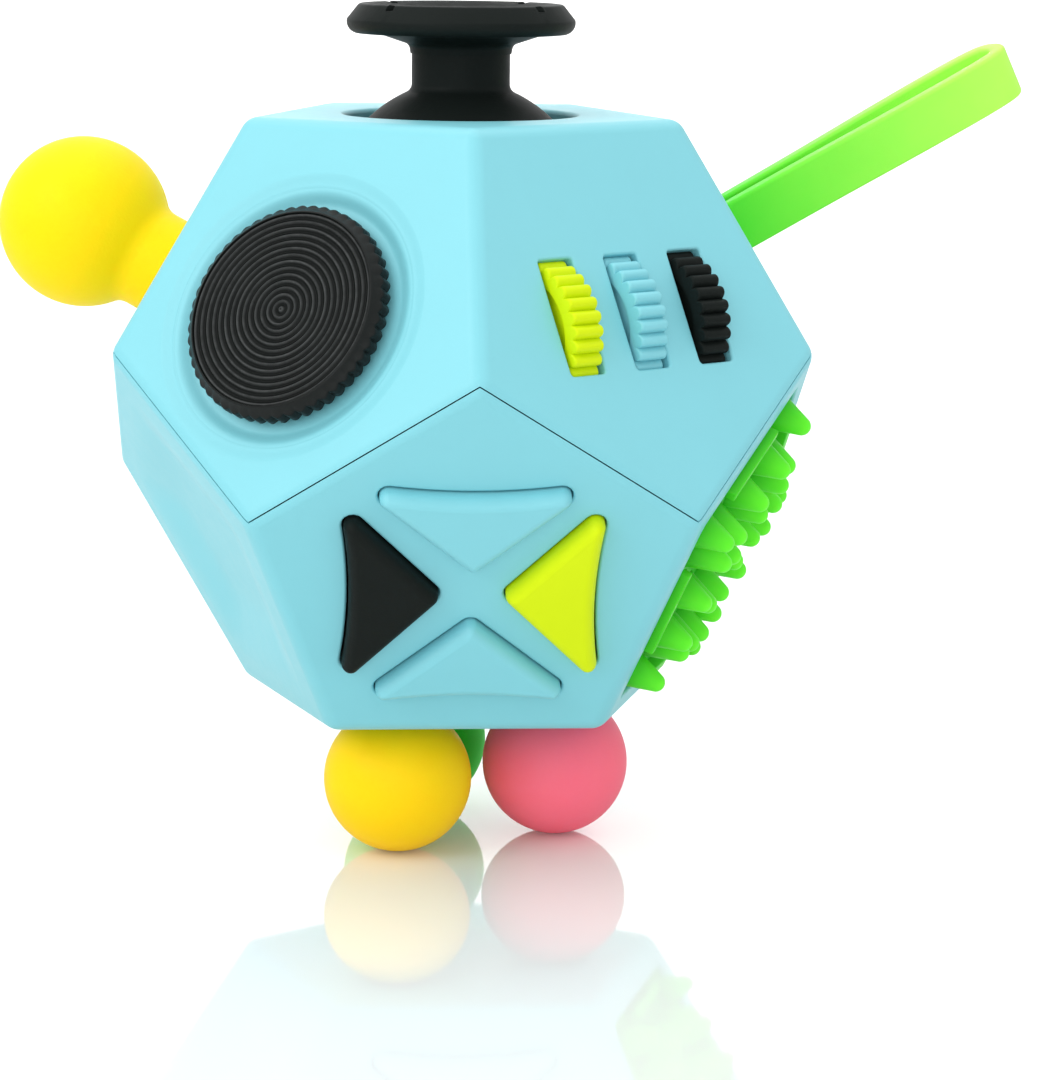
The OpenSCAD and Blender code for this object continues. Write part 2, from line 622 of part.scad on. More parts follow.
// ---- Rocker switch, at rest on one side ----
lug_w = 1.4;
lug_half = 1.9;
lug_out = rocker_w / 2 + 0.4 + lug_w;   // outer side of a lug
lug_low = 1.85;                         // the lugs end this far below the pin
leaf_t = 0.45;
rocker_pin_r = 0.8;
rocker_depth = wall + 1.1;
rocker_lean = 8;
rocker_top = rocker_depth + 0.7;
rocker_slot = rocker_len / 2 + 0.9;
module rocker_switch() color(black) on_upper(az_rocker)
    translate([0, 0, -rocker_depth]) rotate([rocker_lean, 0, 0]) difference() {
        rotate([90, 0, 90]) linear_extrude(rocker_w, center = true) polygon([[-rocker_len / 2, rocker_top],
            [-rocker_len / 2 + 0.1, 1.5], [-3, -1.5], [3, -1.5], [rocker_len / 2 - 0.1, 1.5],
            [rocker_len / 2, rocker_top], [0, rocker_top - 0.6]]);
        cross_rod(rocker_pin_r + turn_gap, -rocker_w, rocker_w);
    }
module rocker_pin() color(steel) on_upper(az_rocker) translate([0, 0, -rocker_depth])
    cross_rod(rocker_pin_r - 0.005, -lug_out + 0.1, lug_out - 0.1);
// Flat leaf across the two lugs, just under the rocker
module rocker_spring() color(steel) on_upper(az_rocker)
    block([-lug_out, lug_out], [-1.6, 1.6],
        [-rocker_depth - lug_low - 0.02 - leaf_t, -rocker_depth - lug_low - 0.02]);

// ---- Rolling ball ----
roller_r = roller_d / 2;
roller_depth = wall + 0.9;
roller_flange_depth = wall + 1.6;
roller_ear_x = roller_r + 3;
roller_plate_t = 1.1;
roller_cup_wall = 1.2;
module roller_ears() for (s = [-1, 1]) translate([s * roller_ear_x, 0, 0]) children();
module roller_ball() color(steel) on_lower(az_roller) translate([0, 0, -roller_depth]) sphere(r = roller_r);
module roller_cup() color(grey) on_lower(az_roller) difference() {
    union() {
        translate([0, 0, -roller_depth]) intersection() {
            sphere(r = roller_r + roller_cup_wall);
            rod(2 * roller_r, -2 * roller_r, roller_depth - wall - 0.05);
        }
        roller_ears() rod(boss_r + 0.2, -roller_flange_depth - roller_plate_t, -roller_flange_depth);
        block([-roller_ear_x, roller_ear_x], [-boss_r, boss_r],
            [-roller_flange_depth - roller_plate_t, -roller_flange_depth]);
    }
    translate([0, 0, -roller_depth]) sphere(r = roller_r + turn_gap);
    roller_ears() rod(screw_r + screw_free, -2 * roller_r, 0);
}
module roller_screws() color(steel) on_lower(az_roller) roller_ears()
    screw_up(roller_flange_depth, roller_plate_t);

// ---- Slider ----
thumb_half = 3;                         // half side of the thumb pad
thumb_t = 1.7;
rib_h = 0.4;
slider_neck = 4;
slider_neck_w = 3.6;
slider_flange_w = 6;
slider_plate_t = 1;
slider_plate_depth = wall + 1.3;
slider_ear_y = slider_flange_w / 2 + boss_r + 0.5;
module slider_ears() for (s = [-1, 1]) translate([0, s * slider_ear_y, 0]) children();
module slider_button() color(lime) on_lower(az_slider) {
    block([-thumb_half, thumb_half], [-thumb_half, thumb_half], [face_gap, thumb_t]);
    for (x = [-1.7, 0, 1.7]) block([x - 0.35, x + 0.35], [-2.3, 2.3], [thumb_t - 0.1, thumb_t + rib_h]);
    block([-slider_neck / 2, slider_neck / 2], [-slider_neck_w / 2, slider_neck_w / 2], [-wall - 0.5, 0.5]);
    block([-thumb_half - 0.4, thumb_half + 0.4], [-slider_flange_w / 2, slider_flange_w / 2],
        [-wall - 1, -wall - face_gap]);
}
module slider_keeper() color(grey) on_lower(az_slider) difference() {
    union() {
        block([-6.6, 6.6], [-slider_flange_w / 2, slider_flange_w / 2],
            [-slider_plate_depth - slider_plate_t, -slider_plate_depth]);
        slider_ears() rod(boss_r + 0.3, -slider_plate_depth - slider_plate_t, -slider_plate_depth);
        block([-boss_r, boss_r], [-slider_ear_y, slider_ear_y],
            [-slider_plate_depth - slider_plate_t, -slider_plate_depth]);
    }
    slider_ears() rod(screw_r + screw_free, -2 * slider_plate_depth, 0);
}
module slider_screws() color(steel) on_lower(az_slider) slider_ears()
    screw_up(slider_plate_depth, slider_plate_t);

// ---- Worry stone hollow ----
worry_r = face_r - 3;
worry_depth = 1;
worry_ball = (pow(worry_r, 2) + pow(worry_depth, 2)) / (2 * worry_depth);

upper_shell();
lower_shell();
joystick_cap();
joystick_stem();
joystick_gimbal();
joystick_socket();
joystick_spring();
joystick_screws();
dial_disk();
dial_washer();
dial_screw();
gear_yellow();
gear_blue();
gear_black();
gear_axle();
gear_keeper();
gear_screws();
button_up();
button_down();
button_left();
button_right();
button_membrane();
button_plate();
button_screws();
bristle_pad();
ball_yellow();
ball_pink();
ball_green();
ball_pin_yellow();
ball_pin_pink();
ball_pin_green();
squeeze_knob();
finger_loop();
loop_pin();
rocker_switch();
rocker_pin();
rocker_spring();
roller_ball();
roller_cup();
roller_screws();
slider_button();
slider_keeper();
slider_screws();
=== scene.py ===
import json
import math

import bmesh
import bpy
import numpy as np
from mathutils import Matrix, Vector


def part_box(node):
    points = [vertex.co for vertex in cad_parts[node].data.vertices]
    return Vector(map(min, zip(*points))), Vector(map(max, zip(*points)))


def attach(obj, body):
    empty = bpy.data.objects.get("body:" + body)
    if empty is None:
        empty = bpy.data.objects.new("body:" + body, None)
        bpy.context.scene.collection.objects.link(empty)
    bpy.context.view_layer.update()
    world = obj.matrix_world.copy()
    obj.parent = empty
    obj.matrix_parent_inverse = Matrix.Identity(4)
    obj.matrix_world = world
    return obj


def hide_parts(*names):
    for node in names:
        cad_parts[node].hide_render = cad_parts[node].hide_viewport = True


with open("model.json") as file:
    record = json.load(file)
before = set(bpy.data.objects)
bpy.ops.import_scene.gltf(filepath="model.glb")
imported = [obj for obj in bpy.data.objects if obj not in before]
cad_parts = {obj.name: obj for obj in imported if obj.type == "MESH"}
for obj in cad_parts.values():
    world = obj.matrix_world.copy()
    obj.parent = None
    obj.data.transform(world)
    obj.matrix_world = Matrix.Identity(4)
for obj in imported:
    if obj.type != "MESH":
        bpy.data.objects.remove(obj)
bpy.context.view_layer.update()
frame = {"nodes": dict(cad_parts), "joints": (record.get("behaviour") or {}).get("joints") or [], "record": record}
joints = {j["name"]: j for j in frame["joints"]}
mm = 0.001


# ---------------------------------------------------------------------------
# Casing halves: two satin sky-blue mouldings that close on a zigzag line round
# the belt. Every face carries a window for its control, and every window's lip
# is rounded. The halves are pegged and bonded together.
# ---------------------------------------------------------------------------
casing_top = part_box("upper_shell")[1].z
casing_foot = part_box("lower_shell")[0].z
face_in = (casing_top - casing_foot) / 2
casing_centre = np.array([0.0, 0.0, (casing_top + casing_foot) / 2])
golden = (1 + math.sqrt(5)) / 2
ring_lean = math.degrees(math.atan(0.5))
face_r = face_in / golden
wall = 2.2 * mm
edge_round = 1.5 * mm
seam_half, seam_depth = 0.055 * mm, 0.7 * mm
DIAL, GEARS, LOOP, KNOB, ROCKER = -36, 36, 108, -108, 180
BUTTONS, PAD, WORRY, ROLLER, SLIDER = 0, 72, -72, 144, -144


def face_axes(azimuth, lean):
    """Right, up-slope and outward directions of a casing face, as rows."""
    a, e = math.radians(azimuth), math.radians(lean)
    out = np.array([math.cos(e) * math.sin(a), -math.cos(e) * math.cos(a), math.sin(e)])
    right = np.array([math.cos(a), math.sin(a), 0.0])
    return np.array([right, np.cross(out, right), out])


def on_face(points, azimuth, lean, shift=(0, 0, 0)):
    """Places points given as right, up-slope and height above a face's middle."""
    local = np.asarray(points, float) + np.array(shift) + [0, 0, face_in]
    return local @ face_axes(azimuth, lean) + casing_centre


def spot_on_face(place, azimuth, lean):
    """How far a place is to the right of a face's middle and up its slope."""
    right, up, _ = face_axes(azimuth, lean) @ (np.array(place) - casing_centre)
    return right, up, 0


def sheet_faces(rings, around, closed=True):
    """Quads of a grid of rings, each ring's last point joined to its first."""
    r = np.arange(rings - 1)[:, None] * around
    u = np.arange(around if closed else around - 1)[None, :]
    v = (u + 1) % around
    return np.stack([r + u, r + v, r + v + around, r + u + around], -1).reshape(-1, 4)


def tube(rings, capped=True):
    """Points and faces of a stack of rings, closed by a face at each end."""
    count, around = rings.shape[:2]
    faces = sheet_faces(count, around).tolist()
    if capped:
        faces.append(list(range(around))[::-1])
        faces.append(list(range((count - 1) * around, count * around)))
    return rings.reshape(-1, 3), faces


def lathe(profile, steps=96):
    """A profile of (radius, height) points carried once round the axis."""
    p = np.asarray(profile, float)
    a = np.arange(steps) * 2 * math.pi / steps
    rings = np.stack([p[:, :1] * np.cos(a), p[:, :1] * np.sin(a), np.repeat(p[:, 1:], steps, 1)], -1)
    return tube(rings, capped=False)


def arc(centre, radius, start, end, steps=6):
    """Points of an arc, start and end in degrees."""
    a = np.radians(np.linspace(start, end, steps + 1))
    return np.asarray(centre) + radius * np.stack([np.cos(a), np.sin(a)], -1)


def joined(*parts):
    """Several (points, faces) pairs as one."""
    points, faces, count = [], [], 0
    for p, f in parts:
        points.append(p)
        faces += [[i + count for i in face] for face in f]
        count += len(p)
    return np.concatenate(points), faces


def solid(name, points, faces, smooth=35):
    """A closed mesh: doubles merged, faces turned outwards, edges over the angle kept crisp."""
    mesh = bpy.data.meshes.new(name)
    mesh.from_pydata(np.asarray(points).tolist(), [], [list(map(int, f)) for f in faces])
    build = bmesh.new()
    build.from_mesh(mesh)
    bmesh.ops.remove_doubles(build, verts=build.verts, dist=2e-7)
    bmesh.ops.recalc_face_normals(build, faces=build.faces)
    build.to_mesh(mesh)
    build.free()
    piece = bpy.data.objects.new(name, mesh)
    bpy.context.scene.collection.objects.link(piece)
    crisp(piece, smooth)
    return piece


def crisp(piece, angle):
    """Smooth shading that stops at edges sharper than the angle."""
    piece.data.polygons.foreach_set("use_smooth", np.ones(len(piece.data.polygons), bool))
    piece.data.set_sharp_from_angle(angle=math.radians(angle))
    weigh = piece.modifiers.new("even_flats", "WEIGHTED_NORMAL")
    weigh.keep_sharp = True


def carve(piece, points, faces, angle=35):
    """Takes a tool's shape out of a piece."""
    tool = solid("tool", points, faces)
    tool.modifiers.clear()
    piece.modifiers.clear()
    cut = piece.modifiers.new("cut", "BOOLEAN")
    cut.operation = "DIFFERENCE"
    cut.solver = "EXACT"
    cut.object = tool
    shaped = piece.evaluated_get(bpy.context.evaluated_depsgraph_get())
    piece.data = bpy.data.meshes.new_from_object(shaped)
    piece.modifiers.clear()
    bpy.data.objects.remove(tool)
    crisp(piece, angle)


def rounded_outline(centres, radius, hollow=(), steps=5):
    """A convex outline with round corners about the given centres, anticlockwise.

    A side may be hollow: it then bows in by that depth as a parabola between its corners."""
    c = np.asarray(centres, float)
    n = len(c)
    side = np.roll(c, -1, axis=0) - c
    turn = np.degrees(np.arctan2(-side[:, 0], side[:, 1]))
    line = []
    for i in range(n):
        start, end = turn[i - 1], turn[i]
        line.append(arc(c[i], radius, start, start + (end - start) % 360, steps))
        if i < len(hollow) and hollow[i]:
            out = np.array([math.cos(math.radians(end)), math.sin(math.radians(end))])
            t = np.linspace(0, 1, 12)[1:-1, None]
            bow = hollow[i] * (1 - (2 * t - 1) ** 2)
            line.append(c[i] + (c[(i + 1) % n] - c[i]) * t + out * (radius - bow))
    return np.concatenate(line)


def stack(outline, levels):
    """Rings of an outline grown by g at height z, for each (g, z)."""
    return np.stack([np.column_stack([outline(g), np.full(len(outline(g)), z)]) for g, z in levels])


def window(outline, depth, lip):
    """The tool for a window in a face: straight walls that flare into a round lip."""
    curve = [(lip * (1 - math.sin(a)), -lip * (1 - math.cos(a))) for a in np.radians([0, 20, 45, 70, 90])]
    levels = [(lip, 1.5 * mm)] + curve + [(0.0, -depth)]
    return tube(stack(outline, levels))


def circle_outline(radius, steps=72):
    """A round outline that can be grown."""
    a = np.arange(steps) * 2 * math.pi / steps
    return lambda g: (radius + g) * np.stack([np.cos(a), np.sin(a)], -1)


def box_outline(half_x, half_y, corner):
    """A rectangle with round corners that can be grown."""
    x, y = half_x - corner, half_y - corner
    return lambda g: rounded_outline([[x, -y], [x, y], [-x, y], [-x, -y]], corner + g)


def face_skin(azimuth, lean, apex, bends=6):
    """One casing face with its rounded edges.

    The flat part is a pentagon; from it each point rolls over a quarter of the edge's cylinder,
    or of the corner's ball, as far as the plane shared with the neighbour."""
    reach = edge_round / golden
    flat = face_r - reach
    centres, throws = [], []
    for j in range(5):
        corner = math.radians(apex + 72 * j)
        c = flat / math.cos(math.radians(36)) * np.array([math.cos(corner), math.sin(corner)])
        sides = [reach * np.array([math.cos(corner + turn), math.sin(corner + turn)])
                 for turn in (-math.pi / 5, math.pi / 5)]
        tip = np.array([math.cos(corner), math.sin(corner)]) * reach / math.cos(math.radians(36))
        for t in np.linspace(0, 1, 5):
            throws.append(sides[0] * (1 - t) + tip * t)
            centres.append(c)
        for t in np.linspace(0, 1, 5)[1:]:
            throws.append(tip * (1 - t) + sides[1] * t)
            centres.append(c)
    centres, throws = np.array(centres), np.array(throws)
    length = np.linalg.norm(throws, axis=1, keepdims=True)
    rings = []
    for k in list(np.linspace(0, 0.94, bends)) + [1.0]:
        bend = np.arctan(length / edge_round) * k
        flatways = centres + throws / length * edge_round * np.sin(bend)
        rings.append(np.hstack([flatways, edge_round * (np.cos(bend) - 1)]))
    rings = np.array(rings)
    points, faces = rings.reshape(-1, 3), sheet_faces(len(rings), rings.shape[1]).tolist()
    faces.append(list(range(rings.shape[1]))[::-1])
    return on_face(points, azimuth, lean), faces


def casing_half(name, up):
    """Six rounded faces, their inner faces, and the zigzag joint face with a fine step at its outer edge."""
    ring = [(36 + 72 * i + (0 if up > 0 else 36), up * ring_lean) for i in range(5)]
    skins = [face_skin(0, up * 90, -90)] + [face_skin(az, lean, -90 * up) for az, lean in ring]
    points, faces = joined(*skins)
    build = bmesh.new()
    mesh = bpy.data.meshes.new(name)
    mesh.from_pydata(points.tolist(), [], faces)
    build.from_mesh(mesh)
    bmesh.ops.remove_doubles(build, verts=build.verts, dist=2e-6)
    rim = sorted({v for e in build.edges if e.is_boundary for v in e.verts}, key=lambda v: v.index)
    spots = np.array([v.co for v in rim]) - casing_centre
    turn = {v: k for k, v in enumerate(rim)}
    outer = [e for e in build.edges if e.is_boundary]
    deep = [build.verts.new(p * (1 - seam_depth / np.linalg.norm(p)) + casing_centre + [0, 0, up * seam_half])
            for p in spots]
    for v, p in zip(rim, spots):
        v.co = p + casing_centre + [0, 0, up * seam_half]
    for e in outer:
        a, b = e.verts
        build.faces.new([a, b, deep[turn[b]], deep[turn[a]]])
    inner = (face_in - wall) / face_in
    belt_r = face_r * math.tan(math.radians(36)) / math.sin(math.radians(36)) * golden * inner
    belt_z = face_in * (math.sqrt(5) - 2) * inner
    belt = [np.array([belt_r * math.sin(math.radians(36 * i)), -belt_r * math.cos(math.radians(36 * i)),
                      belt_z * (1 if i % 2 == 0 else -1)]) for i in range(10)]
    cap_r = face_r / math.cos(math.radians(36)) * inner
    cap = [np.array([cap_r * math.sin(a), -cap_r * math.cos(a), up * face_in * inner])
           for a in np.radians([72 * i + (0 if up > 0 else 36) for i in range(5)])]
    low = [build.verts.new(b + casing_centre) for b in belt]
    high = [build.verts.new(c + casing_centre) for c in cap]
    build.faces.new(high)
    first = 0 if up > 0 else 1
    for i in range(5):
        b = 2 * i + first
        build.faces.new([high[i], high[(i + 1) % 5], low[(b + 2) % 10], low[(b + 1) % 10], low[b]])
    for i in range(10):
        a, b = belt[i], belt[(i + 1) % 10]
        across = np.cross(a, b)
        near = np.abs(spots @ (across / np.linalg.norm(across))) < 3e-6
        along = spots @ (b - a)
        near &= spots @ (a + b) > 0
        order = [k for k in np.argsort(along) if near[k]]
        build.faces.new([deep[k] for k in order] + [low[(i + 1) % 10], low[i]])
    bmesh.ops.recalc_face_normals(build, faces=build.faces)
    build.to_mesh(mesh)
    build.free()
    piece = bpy.data.objects.new(name, mesh)
    bpy.context.scene.collection.objects.link(piece)
    crisp(piece, 35)
    return piece


def face_tool(tool, azimuth, lean, shift=(0, 0, 0)):
    """A tool set on a face."""
    return on_face(tool[0], azimuth, lean, shift), tool[1]


# Windows of the upper half
skirt_hole = (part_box("joystick_stem")[1].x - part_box("joystick_stem")[0].x) / 2 - 0.75 * mm
dial_r = 8.2 * mm
dial_spot = spot_on_face(joints["dial_spin"]["pos_m"], DIAL, ring_lean)
gear_pitch = 6.15 * mm
gear_y = -0.8 * mm
gear_w = 2.6 * mm
slot_half_x, slot_half_y = gear_w / 2 + 0.3 * mm, 4.39 * mm
knob_drop = 1.7 * mm
loop_w, loop_t, loop_root = 4.2 * mm, 1.3 * mm, 3.4 * mm
loop_spot = spot_on_face((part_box("loop_pin")[0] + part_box("loop_pin")[1]) / 2, LOOP, ring_lean)
rocker_w, rocker_len = 7.6 * mm, 11 * mm


def dish_tool(bore):
    """A shallow recess and a bore: from radius to radius the height eases between levels as a cosine."""
    edge = dial_r + 0.45 * mm
    steps = [(edge, -0.75), (edge + 1.2 * mm, -0.2), (edge + 1.45 * mm, -0.16), (edge + 2.6 * mm, 0.0)]
    profile = [(0, 1.2 * mm), (steps[-1][0] * 1.01, 1.2 * mm), (steps[-1][0] * 1.01, 0.012 * mm)]
    for (r_in, low), (r_out, high) in list(zip(steps, steps[1:]))[::-1]:
        t = np.linspace(1, 0, 9)
        z = (low + (high - low) * (1 - np.cos(t * math.pi)) / 2) * mm
        profile += list(zip(r_in + (r_out - r_in) * t, z + 0.008 * mm * (high == 0.0)))
    profile += [(bore, -0.75 * mm), (bore, -wall - 2 * mm), (0, -wall - 2 * mm)]
    return lathe(profile, 96)


upper_half = casing_half("casing_upper", 1)
upper_tools = [face_tool(window(circle_outline(skirt_hole), wall + 1 * mm, 0.35 * mm), 0, 90),
               face_tool(dish_tool(2.06 * mm), DIAL, ring_lean, dial_spot)]
for k in (-1, 0, 1):
    slot = window(box_outline(slot_half_x, slot_half_y, 0.3 * mm), wall + 1 * mm, 0.2 * mm)
    upper_tools.append(face_tool(slot, GEARS, ring_lean, (k * gear_pitch, gear_y, 0)))
upper_tools.append(face_tool(window(circle_outline(3.2 * mm), wall + 1 * mm, 0.2 * mm), KNOB, ring_lean,
                             (0, -knob_drop, 0)))
loop_slot = window(box_outline(loop_root / 2, loop_w / 2, 0.4 * mm), wall + 1 * mm, 0.25 * mm)
upper_tools.append(face_tool(loop_slot, LOOP, ring_lean, loop_spot))
upper_tools.append(face_tool(window(box_outline(rocker_w / 2 + 0.2 * mm, rocker_len / 2 + 0.9 * mm, 0.5 * mm),
                                    wall + 1 * mm, 0.3 * mm), ROCKER, ring_lean))
carve(upper_half, *joined(*upper_tools))

# Windows of the lower half
cross_y = -0.9 * mm
button_corner = 0.8 * mm
button_apex, button_base, button_half = 3.1 * mm, 8.6 * mm, 6.1 * mm
pad_r = face_r - 2.4 * mm
foot_names = ("yellow", "pink", "green")
foot_r = (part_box("ball_yellow")[1].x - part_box("ball_yellow")[0].x) / 2
feet = {n: np.array(joints[n + "_foot_spin"]["pos_m"]) for n in foot_names}
roller_centre = np.array(joints["roller_roll"]["pos_m"])
roller_r = (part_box("roller_ball")[1].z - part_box("roller_ball")[0].z) / 2
slider_half, slider_neck = 5.4 * mm, 1.92 * mm


def button_outline(quarter_turns):
    """A direction button: a triangle with round corners that points to the cross's middle.

    Its outer side is hollow."""
    turn = quarter_turns * math.pi / 2
    spin = np.array([[math.cos(turn), math.sin(turn)], [-math.sin(turn), math.cos(turn)]])
    centres = np.array([[0, button_apex], [button_half, button_base], [-button_half, button_base]])
    tall = button_base - button_apex
    inradius = button_half * tall / (button_half + math.hypot(button_half, tall))
    middle = np.array([0, button_base - inradius])

    def outline(g):
        """Below a corner radius of a tenth of a millimetre the sides draw in towards the middle instead."""
        radius = max(button_corner + g, 0.1 * mm)
        shrink = 1 - (radius - button_corner - g) / inradius
        return rounded_outline(middle + (centres - middle) * shrink, radius, (0, 0.45 * mm, 0), 6) @ spin

    return outline


def pentagon_outline(inner, apex, corner):
    """A pentagon with round corners that can be grown."""
    reach = (inner - corner) / math.cos(math.radians(36))
    a = np.radians([apex + 72 * j for j in range(5)])
    return lambda g: rounded_outline(reach * np.stack([np.cos(a), np.sin(a)], -1), corner + g)


def hollow_tool():
    """A thumb hollow: the face's outline drawn in to its middle, its depth a squared sine of the way in."""
    rim = pentagon_outline(face_r - 2.6 * mm, 90, 3.4 * mm)(0.0)
    way_in = np.linspace(0, 0.96, 20)
    depth = -1.1 * mm * np.sin(np.minimum(way_in / 0.6, 1) * math.pi / 2) ** 2
    levels = [(1.0, 1 * mm), (1.0, 0.01 * mm)] + list(zip(1 - way_in[1:], depth[1:]))
    return tube(np.stack([np.column_stack([rim * shrink, np.full(len(rim), z)]) for shrink, z in levels]))


def ball_tool(radius, steps=24):
    """A ball."""
    a = np.radians(np.linspace(-90, 90, steps + 1))
    return lathe(np.stack([radius * np.cos(a), radius * np.sin(a)], -1), 96)


lower_half = casing_half("casing_lower", -1)
window_depth = wall + 1 * mm
cross_spot = (0, cross_y, 0)
lower_tools = [face_tool(window(button_outline(q), window_depth, 0.22 * mm), BUTTONS, -ring_lean, cross_spot)
               for q in range(4)]
pad_pocket = window(pentagon_outline(pad_r, 90, 0.8 * mm), 1.1 * mm, 0.25 * mm)
slider_slot = window(box_outline(slider_half, slider_neck, 0.6 * mm), window_depth, 0.25 * mm)
lower_tools.append(face_tool(pad_pocket, PAD, -ring_lean))
lower_tools.append(face_tool(hollow_tool(), WORRY, -ring_lean))
lower_tools.append(face_tool(slider_slot, SLIDER, -ring_lean))
roller_mouth = math.sqrt((roller_r + 0.1 * mm) ** 2 - (wall + 0.9 * mm) ** 2)
roller_window = window(circle_outline(roller_mouth), window_depth, 0.3 * mm)
lower_tools.append(face_tool(roller_window, ROLLER, -ring_lean))
carve(lower_half, *joined(*lower_tools))
seats = [(ball_tool(foot_r + 0.3 * mm)[0] + feet[n], ball_tool(foot_r)[1]) for n in foot_names]
carve(lower_half, *joined(*seats))
roller_seat = ball_tool(roller_r + 0.08 * mm)
carve(lower_half, roller_seat[0] + roller_centre, roller_seat[1])


class Wire:
    """A shader socket in sums: an operator on it adds that Math node."""

    def __init__(self, finish, socket):
        self.finish, self.socket = finish, socket

    def math(self, operation, first, second):
        return self.finish.math_of(operation, first, second)

    def __add__(self, other):
        return self.math("ADD", self, other)

    def __sub__(self, other):
        return self.math("SUBTRACT", self, other)

    def __rsub__(self, other):
        return self.math("SUBTRACT", other, self)

    def __mul__(self, other):
        return self.math("MULTIPLY", self, other)

    __radd__ = __add__
    __rmul__ = __mul__


class Finish:
    """A material: its constants sit on the shader, and node() adds any other node."""

    def __init__(self, name, **constants):
        self.material = bpy.data.materials.new(name)
        self.material.use_nodes = True
        self.tree = self.material.node_tree
        self.shader = self.tree.nodes["Principled BSDF"]
        for socket, value in constants.items():
            self.shader.inputs[socket.replace("_", " ")].default_value = value
        self.place = self.node("ShaderNodeTexCoord", {}, {}, "Object")

    def node(self, kind, settings, inputs, output=0):
        made = self.tree.nodes.new(kind)
        for name, value in settings.items():
            setattr(made, name, value)
        for key, value in (inputs.items() if isinstance(inputs, dict) else enumerate(inputs)):
            if isinstance(value, Wire):
                self.tree.links.new(value.socket, made.inputs[key])
            else:
                made.inputs[key].default_value = value
        return Wire(self, made.outputs[output])

    def math_of(self, operation, first, second):
        """One Math node."""
        return self.node("ShaderNodeMath", {"operation": operation}, [first, second])

    def noise(self, scale, detail):
        """Cloudy noise, about 0.5 in the middle."""
        return self.node("ShaderNodeTexNoise", {}, {"Vector": self.place, "Scale": scale, "Detail": detail})

    def mix(self, amount, first, second):
        """Two colours mixed by an amount."""
        return self.node("ShaderNodeMix", {"data_type": "RGBA"}, {0: amount, 6: first, 7: second}, 2)

    def feed(self, **wires):
        """Wires into the shader's sockets."""
        for socket, wire in wires.items():
            self.tree.links.new(wire.socket, self.shader.inputs[socket.replace("_", " ")])
        return self.material

    def bump(self, height, strength, distance):
        """Fine relief from a height."""
        return self.node("ShaderNodeBump", {}, {"Strength": strength, "Distance": distance, "Height": height})


def tint(colour, factor):
    """A colour made lighter or darker."""
    return tuple(min(c * factor, 1.0) for c in colour[:3]) + (1.0,)


def moulded_plastic(name, colour, roughness, grain=0.25, level=0.5):
    """Moulded plastic: faint cloudiness in the pigment, a fine spark-eroded grain and uneven gloss."""
    finish = Finish(name, IOR=1.46, Specular_IOR_Level=level)
    cloud = finish.noise(140, 2)
    grain_noise = finish.noise(5200, 2)
    swirl = finish.noise(900, 4)
    colour_now = finish.mix(cloud * 0.5 + swirl * 0.25, tint(colour, 0.96), tint(colour, 1.04))
    gloss = swirl * 0.12 + (roughness - 0.06) + (1 - cloud) * 0.02
    relief = finish.bump(grain_noise * 0.7 + swirl * 0.3, grain, 0.03 * mm)
    return finish.feed(Base_Color=colour_now, Roughness=gloss, Normal=relief)


def fit(piece, material, body, slot, *nodes):
    """Gives a piece its finish and its body and hides the nodes it stands for; the slot is not used."""
    piece.data.materials.clear()
    piece.data.materials.append(material)
    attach(piece, body)
    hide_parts(*nodes)


casing_plastic = moulded_plastic("sky_blue_plastic", (0.20, 0.575, 0.65), 0.42, 0.2)
fit(upper_half, casing_plastic, "casing", "casing", "upper_shell")
fit(lower_half, casing_plastic, "casing", "casing", "lower_shell")


# ---------------------------------------------------------------------------
# Joystick: a black moulded stick with a ball-shaped skirt that keeps the hole
# in the top face covered, and a dished thumb cap pressed on its end.
# ---------------------------------------------------------------------------
pivot = np.array(joints["joystick_pitch"]["pos_m"])
skirt_r = 9.8 * mm
skirt_wall = 1.2 * mm
stick_r = 3.7 * mm
cap_r = (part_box("joystick_cap")[1].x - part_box("joystick_cap")[0].x) / 2
cap_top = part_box("joystick_cap")[1].z - pivot[2]
cap_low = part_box("joystick_cap")[0].z - pivot[2]
skirt_edge = 14.0
fillet = 0.7 * mm


def direction(angle):
    """A unit step at an angle in degrees."""
    return np.array([math.cos(math.radians(angle)), math.sin(math.radians(angle))])


def turned(points, angle):
    """Points turned about the upright axis, in degrees."""
    c, s = direction(angle)
    return points @ np.array([[c, s, 0], [-s, c, 0], [0, 0, 1]])


# The fillet's ball rolls on the skirt and touches the stick
meet = math.degrees(math.acos((stick_r + fillet) / (skirt_r + fillet)))
fillet_centre = (skirt_r + fillet) * direction(meet)
stick_profile = np.concatenate([
    [(0, -2.2 * mm), (2.1 * mm, -2.2 * mm), (2.4 * mm, -1.9 * mm)],
    arc((0, 0), skirt_r - skirt_wall, 73.5, skirt_edge, 18),
    arc((skirt_r - skirt_wall / 2) * direction(skirt_edge), skirt_wall / 2,
        skirt_edge - 180, skirt_edge, 8)[1:-1],
    arc((0, 0), skirt_r, skirt_edge, meet, 24),
    arc(fillet_centre, fillet, meet + 180, 180, 8)[1:],
    [(stick_r, cap_low), (stick_r, cap_low + 0.4 * mm), (0, cap_low + 0.4 * mm)]])
stick_points, stick_faces = lathe(stick_profile, 112)
stick = solid("joystick_stick", stick_points + pivot, stick_faces, smooth=40)

